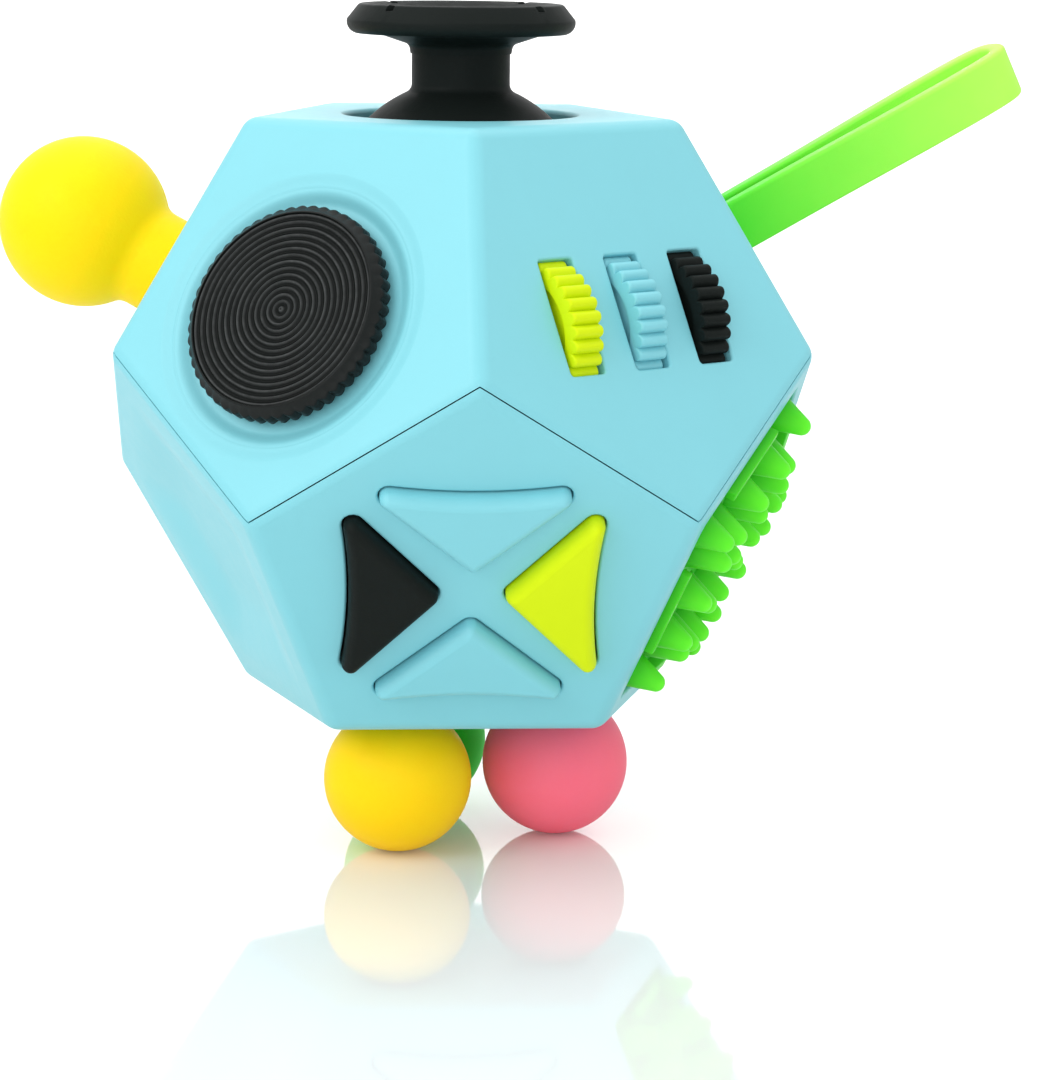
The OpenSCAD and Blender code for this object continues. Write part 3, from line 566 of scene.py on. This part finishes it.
dish_line = np.linspace(cap_r - 1.6 * mm, 0, 16)
cap_profile = np.concatenate([
    [(0, cap_low), (stick_r + 0.1 * mm, cap_low), (stick_r + 0.15 * mm, cap_low + 0.25 * mm)],
    arc((stick_r + 0.7 * mm, cap_low + 0.25 * mm), 0.55 * mm, 180, 100, 6)[1:],
    [(cap_r - 2.6 * mm, cap_top - 2.35 * mm)],
    arc((cap_r - 0.9 * mm, cap_top - 1.35 * mm), 0.9 * mm, -72, 12, 8),
    arc((cap_r - 1.15 * mm, cap_top - 0.42 * mm), 0.42 * mm, 40, 100, 5),
    np.stack([dish_line, cap_top - 0.85 * mm * (1 - (dish_line / (cap_r - 1.5 * mm)) ** 4)], -1)])
cap_points, cap_faces = lathe(cap_profile, 128)
cap = solid("joystick_thumb_cap", cap_points + pivot, cap_faces, smooth=50)
notch = box_outline(0.9 * mm, 0.34 * mm, 0.12 * mm)
notches = []
for quarter in range(4):
    cut, cut_faces = tube(stack(notch, [(0.1 * mm, 1 * mm), (0.0, -0.42 * mm)]))
    cut = turned(cut + [cap_r - 0.95 * mm, 0, 0], -135 + 90 * quarter)
    notches.append((cut + pivot + [0, 0, cap_top], cut_faces))
carve(cap, *joined(*notches), angle=50)
black_plastic = moulded_plastic("black_plastic", (0.007, 0.010, 0.009), 0.5, 0.55, 0.09)
fit(stick, black_plastic, "joystick", "black_plastic", "joystick_stem")
fit(cap, black_plastic, "joystick", "black_plastic", "joystick_cap")


# ---------------------------------------------------------------------------
# Dial: a black disc with fine rings moulded in its top and a gripped edge. Its
# post turns in a bore at the bottom of a soft hollow in the casing.
# ---------------------------------------------------------------------------
dial_top = 1.4 * mm
ring_count = 14
ring_pitch = (dial_r - 0.85 * mm) / (ring_count + 0.5)
grips = 52
dial_steps = grips * 8


def dial_surface():
    """Top: height falls away from each ridge as a power of the sine's size. Edge: radius falls in between
    grips as one minus the cosine's size."""
    r_top = np.linspace(0.0, dial_r - 0.85 * mm, ring_count * 10)
    wave = np.abs(np.sin(math.pi * (r_top / ring_pitch - 0.25)))
    z_top = dial_top - 0.24 * mm * wave ** 0.8
    edge = np.concatenate([arc((dial_r - 0.8 * mm, dial_top - 0.2 * mm), 0.2 * mm, 90, 20, 4),
                           arc((dial_r - 0.3 * mm, dial_top - 0.72 * mm), 0.3 * mm, 70, 0, 5)])
    side = [(dial_r, dial_top - 1.0 * mm), (dial_r, -0.1 * mm), (dial_r - 0.3 * mm, -0.3 * mm)]
    under = [(3.0 * mm, -0.4 * mm), (2.0 * mm, -0.45 * mm), (2.0 * mm, -3.6 * mm), (0, -3.6 * mm)]
    profile = np.concatenate([np.stack([r_top, z_top], -1), edge, side, under])
    smooth_top = np.zeros(len(r_top) + 5)
    grip = np.concatenate([smooth_top, np.linspace(0.3, 1, 6), [1, 1, 0.6], np.zeros(4)])
    a = np.arange(dial_steps) * 2 * math.pi / dial_steps
    dent = 0.28 * mm * (1 - np.abs(np.cos(grips * a / 2)) ** 0.9)
    r = profile[:, :1] - grip[:, None] * dent
    rings = np.stack([r * np.cos(a), r * np.sin(a), np.repeat(profile[:, 1:], dial_steps, 1)], -1)
    return tube(rings, capped=False)


dial_points, dial_faces = dial_surface()
dial = solid("dial_disc", on_face(dial_points, DIAL, ring_lean, dial_spot), dial_faces, smooth=60)


def ridged_plastic():
    """Black moulded plastic with painted highlights on its ring crests, a power of the cosine's size along the
    radius, and its side painted a lighter grey as painted sheen.
    """
    finish = Finish("dial_black_plastic", IOR=1.46, Specular_IOR_Level=0.1)
    out = face_axes(DIAL, ring_lean)[2]
    centre = tuple(joints["dial_spin"]["pos_m"])
    offset = finish.node("ShaderNodeVectorMath", {"operation": "SUBTRACT"}, [finish.place, centre])
    across = finish.node("ShaderNodeVectorMath", {"operation": "CROSS_PRODUCT"}, [offset, tuple(out)])
    radius = finish.node("ShaderNodeVectorMath", {"operation": "LENGTH"}, [across], "Value")
    turn = radius * (math.pi / ring_pitch) - math.pi / 4
    crest_highlight = finish.math_of("POWER", finish.math_of("ABSOLUTE", finish.math_of("COSINE", turn, 0), 0), 5.0)
    topside = finish.math_of("LESS_THAN", radius, dial_r - 0.8 * mm)
    sheen_and_grain_noise = finish.noise(1800, 4)
    # Painted highlight: the ring crests, flecked by noise, and the disc's side are lightened in the colour as if
    # catching light.
    painted_ridge_and_rim_sheen = crest_highlight * topside * (0.3 + sheen_and_grain_noise * 0.8) + (1 - topside) * 0.12
    relief = finish.bump(sheen_and_grain_noise, 0.3, 0.03 * mm)
    return finish.feed(Base_Color=finish.mix(painted_ridge_and_rim_sheen, (0.0025, 0.004, 0.0035, 1), (0.075, 0.08, 0.08, 1)),
                       Roughness=sheen_and_grain_noise * 0.1 + 0.3, Normal=relief)


dial_plastic = ridged_plastic()
fit(dial, dial_plastic, "dial", "black_plastic", "dial_disk")


# ---------------------------------------------------------------------------
# Finger gears: three moulded wheels on one steel axle, each standing out of its
# own slot. Round-topped teeth, with the side edges eased.
# ---------------------------------------------------------------------------
gear_r = (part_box("gear_blue")[1].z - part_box("gear_blue")[0].z) / 2
gear_teeth = 30
tooth_h = 0.5 * mm
lime_plastic = moulded_plastic("lime_plastic", (0.62, 0.78, 0.003), 0.45, 0.2, 0.15)


def gear_wheel(centre):
    """Between teeth the radius falls in as a power of one minus the cosine's size, which leaves broad crests;
    across the width the outline draws in at both sides as a quarter circle, and the flanks are recessed."""
    steps = gear_teeth * 14
    a = np.arange(steps) * 2 * math.pi / steps
    outer = gear_r - tooth_h * (1 - np.abs(np.cos(gear_teeth * a / 2))) ** 1.3
    ease = 0.22 * mm
    turn = np.radians(np.linspace(0, 90, 6))
    half = gear_w / 2
    side = [(ease * (1 - math.sin(t)), half - ease * (1 - math.cos(t))) for t in turn[::-1]]
    rings = []
    for draw, x in [(d, -w) for d, w in side[::-1]] + side:
        rings.append((outer - draw, x))
    flank = [(gear_r - 1.35 * mm, half), (gear_r - 1.5 * mm, half - 0.3 * mm), (2.2 * mm, half - 0.3 * mm),
             (2.05 * mm, half), (1.06 * mm, half)]
    near_flank = [(np.full(steps, r), -x) for r, x in flank[::-1]]
    rings = near_flank + rings + [(np.full(steps, r), x) for r, x in flank]
    rings.append(rings[0])
    axes = face_axes(GEARS, ring_lean)
    grid = np.array([np.stack([np.full(steps, x), r * np.cos(a), r * np.sin(a)], -1) for r, x in rings])
    points, faces = tube(grid, capped=False)
    return points @ axes + centre, faces


for name, material, slot in (("yellow", lime_plastic, "lime_plastic"), ("blue", casing_plastic, "casing"),
                             ("black", black_plastic, "black_plastic")):
    wheel_centre = np.array(joints[name + "_gear_spin"]["pos_m"])
    wheel = solid(name + "_gear_wheel", *gear_wheel(wheel_centre), smooth=50)
    fit(wheel, material, name + "_gear", slot, "gear_" + name)


# ---------------------------------------------------------------------------
# Direction buttons: four moulded caps with soft shoulders. A flange under each
# keeps it in, and the rubber sheet's dome pushes it out.
# ---------------------------------------------------------------------------
button_h = 1.3 * mm
shoulder = 0.85 * mm
slide_gap = 0.12 * mm
button_names = ("up", "left", "down", "right")
button_finish = {"up": (casing_plastic, "casing"), "down": (casing_plastic, "casing"),
                 "left": (black_plastic, "black_plastic"), "right": (lime_plastic, "lime_plastic")}
for q, name in enumerate(button_names):
    shape = button_outline(q)
    levels = [(0.5 * mm, -wall - 0.9 * mm), (0.5 * mm, -wall - 0.12 * mm), (-slide_gap, -wall - 0.12 * mm),
              (-slide_gap, button_h - 1.0 * mm)]
    levels += [(-slide_gap - shoulder * (1 - math.cos(t)), button_h - 1.0 * mm + 1.0 * mm * math.sin(t))
               for t in np.radians([12, 25, 38, 50, 62, 74, 84, 90])]
    points, faces = tube(stack(shape, levels))
    points = on_face(points, BUTTONS, -ring_lean, cross_spot)
    key = solid(name + "_direction_button", points, faces, smooth=40)
    material, slot = button_finish[name]
    fit(key, material, name + "_button", slot, "button_" + name)


# ---------------------------------------------------------------------------
# Bristle pad: one soft green moulding bonded into a pocket. Rounded teeth stand
# on it, and a low rail runs along the middle of each side.
# ---------------------------------------------------------------------------
bristle_h = 3 * mm
pad_top = -0.37 * mm


def bristle(x, y, height=bristle_h, foot=1.55 * mm, tip=0.72 * mm):
    """A tooth: a cone with a ball at its tip and a small flare at its foot."""
    lean = math.degrees(math.atan2(foot - tip, height - tip))
    ball = arc((0, height - tip), tip, lean * 0.8, 90, 6)
    profile = np.concatenate([[(0, -0.3 * mm), (foot + 0.1 * mm, -0.3 * mm), (foot + 0.1 * mm, 0.0),
                               (foot - 0.03 * mm, 0.14 * mm)], ball])
    points, faces = lathe(profile, 22)
    return points + [x, y, pad_top], faces


def rail(angle):
    """A low bar with a round top along one side of the pad."""
    bar = box_outline(0.4 * mm, pad_r / 3, 0.15 * mm)
    levels = [(0, -0.1 * mm), (0, 0.88 * mm), (-0.05 * mm, 0.97 * mm), (-0.13 * mm, 1.0 * mm)]
    points, faces = tube(stack(bar, levels))
    points = points + [pad_r - 0.7 * mm, 0, pad_top]
    return turned(points, angle), faces


pad_shape = pentagon_outline(pad_r - 0.03 * mm, 90, 0.77 * mm)
pad_levels = [(0, -1.07 * mm), (0, pad_top - 0.12 * mm),
              (-0.06 * mm, pad_top - 0.02 * mm), (-0.2 * mm, pad_top)]
pad_parts = [tube(stack(pad_shape, pad_levels)), bristle(0, 0)]
for j in range(5):
    to_corner, to_side = direction(90 + 72 * j), direction(54 + 72 * j)
    pad_parts.append(bristle(*(pad_r * 0.36 * to_corner)))
    pad_parts.append(bristle(*(pad_r * 1.02 * to_corner), 2.7 * mm, 1.4 * mm))
    for k in (-1, 0, 1):
        along = k * np.array([-to_side[1], to_side[0]])
        pad_parts.append(bristle(*(pad_r * 0.64 * to_side + pad_r * 0.34 * along)))
    pad_parts.append(rail(54 + 72 * j))
pad_points, pad_faces = joined(*pad_parts)
pad = solid("green_bristle_pad", on_face(pad_points, PAD, -ring_lean), pad_faces, smooth=50)


def soft_rubber(name, colour, deep, roughness=0.5, grain=0.35, through=0.25):
    """Silicone rubber: dusty bloom in patches, a deeper colour in the pores, and a slight glow through it."""
    finish = Finish(name, IOR=1.42, Specular_IOR_Level=0.15,
                    Subsurface_Weight=through, Subsurface_Scale=1.2 * mm)
    bloom = finish.noise(260, 4)
    pores = finish.noise(3600, 2)
    colour_now = finish.mix(bloom * 0.55 + pores * 0.2, tint(deep, 1), tint(colour, 1))
    relief = finish.bump(pores * 0.6 + bloom * 0.4, grain, 0.05 * mm)
    return finish.feed(Base_Color=colour_now, Roughness=bloom * 0.2 + (roughness - 0.1), Normal=relief)


def rubber_with_painted_shade(name, low, high, azimuth, lean, start, end, power):
    """Silicone rubber with painted shade and light: its colour runs from the darker low to the lighter high with
    height above its casing face, painted shade near the face and painted light higher up.
    """
    out = face_axes(azimuth, lean)[2]
    floor = float(out @ casing_centre) + face_in + start
    finish = Finish(name, IOR=1.42, Specular_IOR_Level=0.2, Subsurface_Weight=0.2, Subsurface_Scale=0.8 * mm)
    sockets = [finish.place, tuple(out)]
    height = finish.node("ShaderNodeVectorMath", {"operation": "DOT_PRODUCT"}, sockets, "Value")
    painted_shade_height = finish.node("ShaderNodeClamp", {}, [(height - floor) * (1 / (end - start)), 0.0, 1.0])
    bloom = finish.noise(260, 4)
    pores = finish.noise(3600, 2)
    amount = finish.math_of("POWER", painted_shade_height, power) * 0.9 + bloom * 0.1
    relief = finish.bump(pores * 0.6 + bloom * 0.4, 0.25, 0.05 * mm)
    return finish.feed(Base_Color=finish.mix(amount, low + (1.0,), high + (1.0,)),
                       Roughness=bloom * 0.2 + 0.32, Normal=relief)


# Painted shade: the pad is painted deep green at the foot of its teeth, where shade falls, and lighter towards
# their tips.
green_rubber = rubber_with_painted_shade("green_silicone", (0.015, 0.42, 0.01), (0.15, 0.95, 0.03), PAD, -ring_lean,
                             -0.4 * mm, 2.6 * mm, 0.8)
fit(pad, green_rubber, "casing", "green_rubber", "bristle_pad")


# ---------------------------------------------------------------------------
# Feet: three soft-touch balls, each pressed on a steel pin that turns in the
# bottom face. The toy stands on them.
# ---------------------------------------------------------------------------
foot_finish = {"yellow": ((1.0, 0.70, 0.01), (0.98, 0.60, 0.0), "yellow_rubber"),
               "pink": ((1.0, 0.20, 0.28), (1.0, 0.15, 0.23), "pink_rubber"),
               "green": ((0.04, 0.85, 0.04), (0.03, 0.75, 0.03), "dark_green_rubber")}
for name in foot_names:
    a = np.radians(np.concatenate([[-90], np.linspace(-86, 86, 44), [90]]))
    ball_points, ball_faces = lathe(np.stack([foot_r * np.cos(a), foot_r * np.sin(a)], -1), 96)
    foot = solid(name + "_ball_foot", ball_points + feet[name], ball_faces, smooth=60)
    colour, deep, slot = foot_finish[name]
    ball_rubber = soft_rubber(name + "_soft_ball", colour, deep, 0.48, 0.25, 0.15)
    fit(foot, ball_rubber, name + "_foot", slot, "ball_" + name)


# ---------------------------------------------------------------------------
# Squeeze knob: one hollow yellow silicone moulding. Its plug snaps through the
# casing, and its neck flares onto the face.
# ---------------------------------------------------------------------------
knob_r = 6.6 * mm
knob_h = 10.6 * mm
neck_r = 3.9 * mm
blend_r = 1.6 * mm
knob_meet = math.degrees(math.acos((neck_r + blend_r) / (knob_r + blend_r)))
blend_centre = np.array([0, knob_h]) + (knob_r + blend_r) * direction(-knob_meet)
plug = -wall - 0.03 * mm
knob_profile = np.concatenate([
    [(0, -wall - 1.2 * mm), (4.4 * mm, -wall - 1.2 * mm), (4.6 * mm, -wall - 0.6 * mm)],
    [(3.15 * mm, plug), (3.15 * mm, 0.03 * mm)],
    [(5.35 * mm, 0.03 * mm), (5.4 * mm, 0.25 * mm)],
    arc((neck_r + 1.6 * mm, 1.9 * mm), 1.6 * mm, -105, -180, 7),
    arc(blend_centre, blend_r, -180, -180 - knob_meet, 6),
    arc((0, knob_h), knob_r, -knob_meet, 90, 40)[1:]])
knob_points, knob_faces = lathe(knob_profile, 112)
knob_points = on_face(knob_points, KNOB, ring_lean, (0, -knob_drop, 0))
knob = solid("yellow_squeeze_knob", knob_points, knob_faces, smooth=50)
knob_rubber = soft_rubber("yellow_silicone", (1.0, 0.74, 0.005), (1.0, 0.64, 0.0), 0.5, 0.6, 0.3)
fit(knob, knob_rubber, "casing", "yellow_rubber", "squeeze_knob")


# ---------------------------------------------------------------------------
# Finger loop: a flat green silicone band, folded back at its far end and held
# behind the wall by a steel pin through its root.
# ---------------------------------------------------------------------------
loop_len = 31.0
loop_side = np.array([(1.5, loop_len - 1.3), (1.9, 28), (2.0, 25), (1.85, 20), (1.45, 13), (1.2, 6),
                      (1.05, 0.2), (1.03, -2), (1.03, -5)])
loop_tip = np.array([(-0.6, loop_len - 0.68), (0.6, loop_len - 0.68)])
loop_line = np.concatenate([loop_side[::-1] * [-1, 1], loop_tip, loop_side]) * mm


def smooth_line(points, steps=8):
    """A curve through the points: cubics whose slope at a point is half its neighbours' span."""
    p = np.vstack([2 * points[0] - points[1], points, 2 * points[-1] - points[-2]])
    t = np.linspace(0, 1, steps, endpoint=False)[:, None]
    stretch = [b + ((c - a) * t + (2 * a - 5 * b + 4 * c - d) * t ** 2 + (3 * b - a - 3 * c + d) * t ** 3) / 2
               for a, b, c, d in zip(p, p[1:], p[2:], p[3:])]
    return np.concatenate(stretch + [points[-1:]])


def band(line, width, thickness, corner):
    """A rounded rectangle carried along a line in the plane of x and height, square to the line."""
    along = np.gradient(line, axis=0)
    along /= np.linalg.norm(along, axis=1, keepdims=True)
    across = np.stack([along[:, 1], -along[:, 0]], -1)
    section = box_outline(thickness / 2, width / 2, corner)(0.0)
    x = line[:, None, 0] + section[None, :, 0] * across[:, None, 0]
    z = line[:, None, 1] + section[None, :, 0] * across[:, None, 1]
    y = np.repeat(section[None, :, 1], len(line), 0)
    return tube(np.stack([x, y, z], -1))


band_points, band_faces = band(smooth_line(loop_line), loop_w - 0.04 * mm, loop_t - 0.02 * mm, 0.3 * mm)
loop = solid("green_finger_loop", on_face(band_points, LOOP, ring_lean, loop_spot), band_faces, smooth=50)
# Painted shade: the loop is painted deeper green at its root by the face and paler towards its tip as painted
# light.
loop_rubber = rubber_with_painted_shade("green_band_silicone", (0.03, 0.70, 0.02), (0.50, 0.98, 0.12), LOOP, ring_lean,
                            0.0, loop_len * mm, 1.1)
fit(loop, loop_rubber, "casing", "green_rubber", "finger_loop")


# ---------------------------------------------------------------------------
# Rocker switch: a black moulding on a steel pin, dished where a finger rests.
# It stays on one side until it is pushed over.
# ---------------------------------------------------------------------------
rocker_pin = np.array(joints["rocker_tilt"]["pos_m"])
rocker_top = 4.0 * mm
rocker_lean = 8.0


def rocker_body():
    """A side outline carried across the width, with its side edges eased as a quarter circle."""
    half = rocker_len / 2
    y = np.linspace(half - 0.45 * mm, -half + 0.45 * mm, 25)
    crest = rocker_top - 0.62 * mm * (1 - (y / half) ** 2)
    outline = np.concatenate([
        [(-half + 0.1 * mm, 1.5 * mm), (-3 * mm, -1.5 * mm)],
        [(3 * mm, -1.5 * mm), (half - 0.1 * mm, 1.5 * mm)],
        arc((half - 0.45 * mm, rocker_top - 0.5 * mm), 0.42 * mm, 0, 80, 5), np.stack([y, crest], -1),
        arc((-half + 0.45 * mm, rocker_top - 0.5 * mm), 0.42 * mm, 100, 180, 5)])
    middle = np.array([0, 1.2 * mm])
    rings = []
    for t in np.radians([90, 60, 30, 0]):
        ease = 0.3 * mm
        shrink = 1 - ease * (1 - math.cos(t)) / half
        rings.append((shrink, rocker_w / 2 - ease * (1 - math.sin(t))))
    rings = [(shrink, -w) for shrink, w in rings] + rings[::-1]
    return tube(np.array([np.column_stack([np.full(len(outline), w), (outline - middle) * shrink + middle])
                          for shrink, w in rings]))


rocker_points, rocker_faces = rocker_body()
run, rise = direction(rocker_lean)
tipped = rocker_points @ np.array([[1, 0, 0], [0, run, rise], [0, -rise, run]]) @ face_axes(ROCKER, ring_lean)
rocker = solid("rocker_switch_cap", tipped + rocker_pin, rocker_faces, smooth=40)
fit(rocker, black_plastic, "rocker", "black_plastic", "rocker_switch")


# ---------------------------------------------------------------------------
# Rolling ball: polished steel, held in a cup behind the face.
# ---------------------------------------------------------------------------
steel_ball_points, steel_ball_faces = ball_tool(roller_r - 0.005 * mm, 56)
steel_ball = solid("rolling_ball", steel_ball_points + roller_centre, steel_ball_faces, smooth=60)
polished = Finish("polished_steel", Metallic=1.0)
polish_marks = polished.noise(700, 5)
polished.feed(Base_Color=polished.mix(polish_marks, (0.62, 0.63, 0.65, 1), (0.72, 0.73, 0.74, 1)),
              Roughness=polish_marks * 0.16 + 0.04)
fit(steel_ball, polished.material, "roller", "polished_steel", "roller_ball")


# ---------------------------------------------------------------------------
# Slider: a lime thumb pad with three ribs on a neck through its slot.
# ---------------------------------------------------------------------------
thumb_levels = [(-0.25 * mm, 0.12 * mm), (0, 0.4 * mm), (0, 1.3 * mm),
                (-0.12 * mm, 1.58 * mm), (-0.4 * mm, 1.7 * mm)]
rib_levels = [(0, 1.5 * mm), (0, 1.9 * mm), (-0.12 * mm, 2.05 * mm), (-0.24 * mm, 2.1 * mm)]
thumb_pad = stack(box_outline(3 * mm, 3 * mm, 0.7 * mm), thumb_levels)
slider_stem = stack(box_outline(2 * mm, 1.8 * mm, 0.4 * mm), [(0, -wall - 0.5 * mm), (0, 0.3 * mm)])
slider_flange = stack(box_outline(3.4 * mm, 3 * mm, 0.4 * mm), [(0, -wall - 1 * mm), (0, -wall - 0.12 * mm)])
slider_rib = stack(box_outline(0.35 * mm, 2.3 * mm, 0.3 * mm), rib_levels)
slider_parts = [tube(thumb_pad), tube(slider_stem), tube(slider_flange)]
for x in (-1.7 * mm, 0, 1.7 * mm):
    slider_parts.append(tube(slider_rib + [x, 0, 0]))
slider_points, slider_faces = joined(*slider_parts)
slider = solid("slider_thumb_pad", on_face(slider_points, SLIDER, -ring_lean), slider_faces, smooth=40)
fit(slider, lime_plastic, "slider", "lime_plastic", "slider_button")


# ---------------------------------------------------------------------------
# Inner works: the frame's own nodes keep their shapes. Brackets are grey
# moulded plastic, pins and screws are steel, the button sheet is grey rubber.
# ---------------------------------------------------------------------------
inner_plastic = moulded_plastic("grey_inner_plastic", (0.30, 0.31, 0.33), 0.55, 0.4)
sheet_rubber = soft_rubber("grey_sheet_rubber", (0.32, 0.32, 0.34), (0.26, 0.26, 0.28), 0.6, 0.4, 0.05)
brushed = Finish("brushed_steel", Metallic=1.0)
lines = brushed.noise(2600, 5)
brushed.feed(Base_Color=brushed.mix(lines, (0.42, 0.43, 0.44, 1), (0.60, 0.61, 0.62, 1)),
             Roughness=lines * 0.25 + 0.22, Normal=brushed.bump(lines, 0.3, 0.02 * mm))
inner_finish = {"inner_plastic": inner_plastic, "grey_rubber": sheet_rubber, "steel": brushed.material,
                "polished_steel": polished.material, "casing": casing_plastic, "black_plastic": black_plastic,
                "lime_plastic": lime_plastic, "green_rubber": green_rubber, "yellow_rubber": knob_rubber,
                "pink_rubber": knob_rubber, "dark_green_rubber": green_rubber}
for part in frame["record"]["subparts"]:
    node = frame["nodes"][part["node"]]
    node.data.materials.clear()
    node.data.materials.append(inner_finish[part["material_slot"]])


# ---------------------------------------------------------------------------
# Studio: a pale glossy table that fades into a white backdrop, large soft
# lights, and the camera a little to the left and above.
# ---------------------------------------------------------------------------
sweep = np.concatenate([[(-1.6, 0.0), (0.9, 0.0)], arc((0.9, 0.6), 0.6, -90, 0, 24)[1:], [(1.5, 2.2)]])
table_points = [(x, y, z) for y, z in sweep for x in (-2.2, 2.2)]
table_mesh = bpy.data.meshes.new("table")
table_mesh.from_pydata(table_points, [], sheet_faces(len(sweep), 2, closed=False).tolist())
table = bpy.data.objects.new("table", table_mesh)
bpy.context.scene.collection.objects.link(table)
table_mesh.polygons.foreach_set("use_smooth", np.ones(len(table_mesh.polygons), bool))
table_finish = Finish("white_table", Roughness=0.05, IOR=2.3,
                      Emission_Color=(1, 1, 1, 1), Emission_Strength=0.05)
table_tone = table_finish.noise(2.0, 1)
table_finish.feed(Base_Color=table_finish.mix(table_tone * 0.1, (0.81, 0.81, 0.81, 1), (0.79, 0.79, 0.79, 1)))
table_mesh.materials.append(table_finish.material)


def soft_light(name, place, aim, size, power):
    """A square softbox that faces a point."""
    light = bpy.data.lights.new(name, "AREA")
    light.shape = "SQUARE"
    light.size, light.energy = size, power
    lamp = bpy.data.objects.new(name, light)
    away = np.array(place, float) - np.array(aim, float)
    lamp.location = place
    tip_back = math.atan2(math.hypot(away[0], away[1]), away[2])
    lamp.rotation_euler = (tip_back, 0, math.atan2(away[0], -away[1]))
    bpy.context.scene.collection.objects.link(lamp)


soft_light("key", (-0.45, -0.30, 0.40), casing_centre, 0.40, 1.35)
soft_light("overhead", (0.0, 0.15, 0.75), casing_centre, 0.90, 2.2)
soft_light("low_fill", (-0.15, -0.75, 0.10), casing_centre, 0.50, 1.1)
soft_light("backdrop_wash", (0.0, 0.55, 0.80), (0.0, 1.45, 0.5), 0.60, 11.0)
world = bpy.data.worlds.new("studio")
world.use_nodes = True
world.node_tree.nodes["Background"].inputs["Color"].default_value = (1, 1, 1, 1)
world.node_tree.nodes["Background"].inputs["Strength"].default_value = 1.0
bpy.context.scene.world = world
bpy.context.scene.view_settings.view_transform = "Standard"

camera_data = bpy.data.cameras.new("camera")
camera_data.sensor_width = 36.0
camera_data.lens = 121.6
camera = bpy.data.objects.new("camera", camera_data)
eye = casing_centre + np.array([-15.0, -275.7, 39.2]) * mm
forward = np.array([0.0702, 0.9818, -0.1766])
forward /= np.linalg.norm(forward)
level = np.cross(forward, [0, 0, 1])
level /= np.linalg.norm(level)
roll = math.radians(-0.6)
upward = np.cross(level, forward)
right = level * math.cos(roll) - upward * math.sin(roll)
upward = np.cross(right, forward)
placing = np.eye(4)
placing[:3] = np.column_stack([right, upward, -forward, eye])
camera.matrix_world = Matrix(placing.tolist())
bpy.context.scene.collection.objects.link(camera)
bpy.context.scene.camera = camera
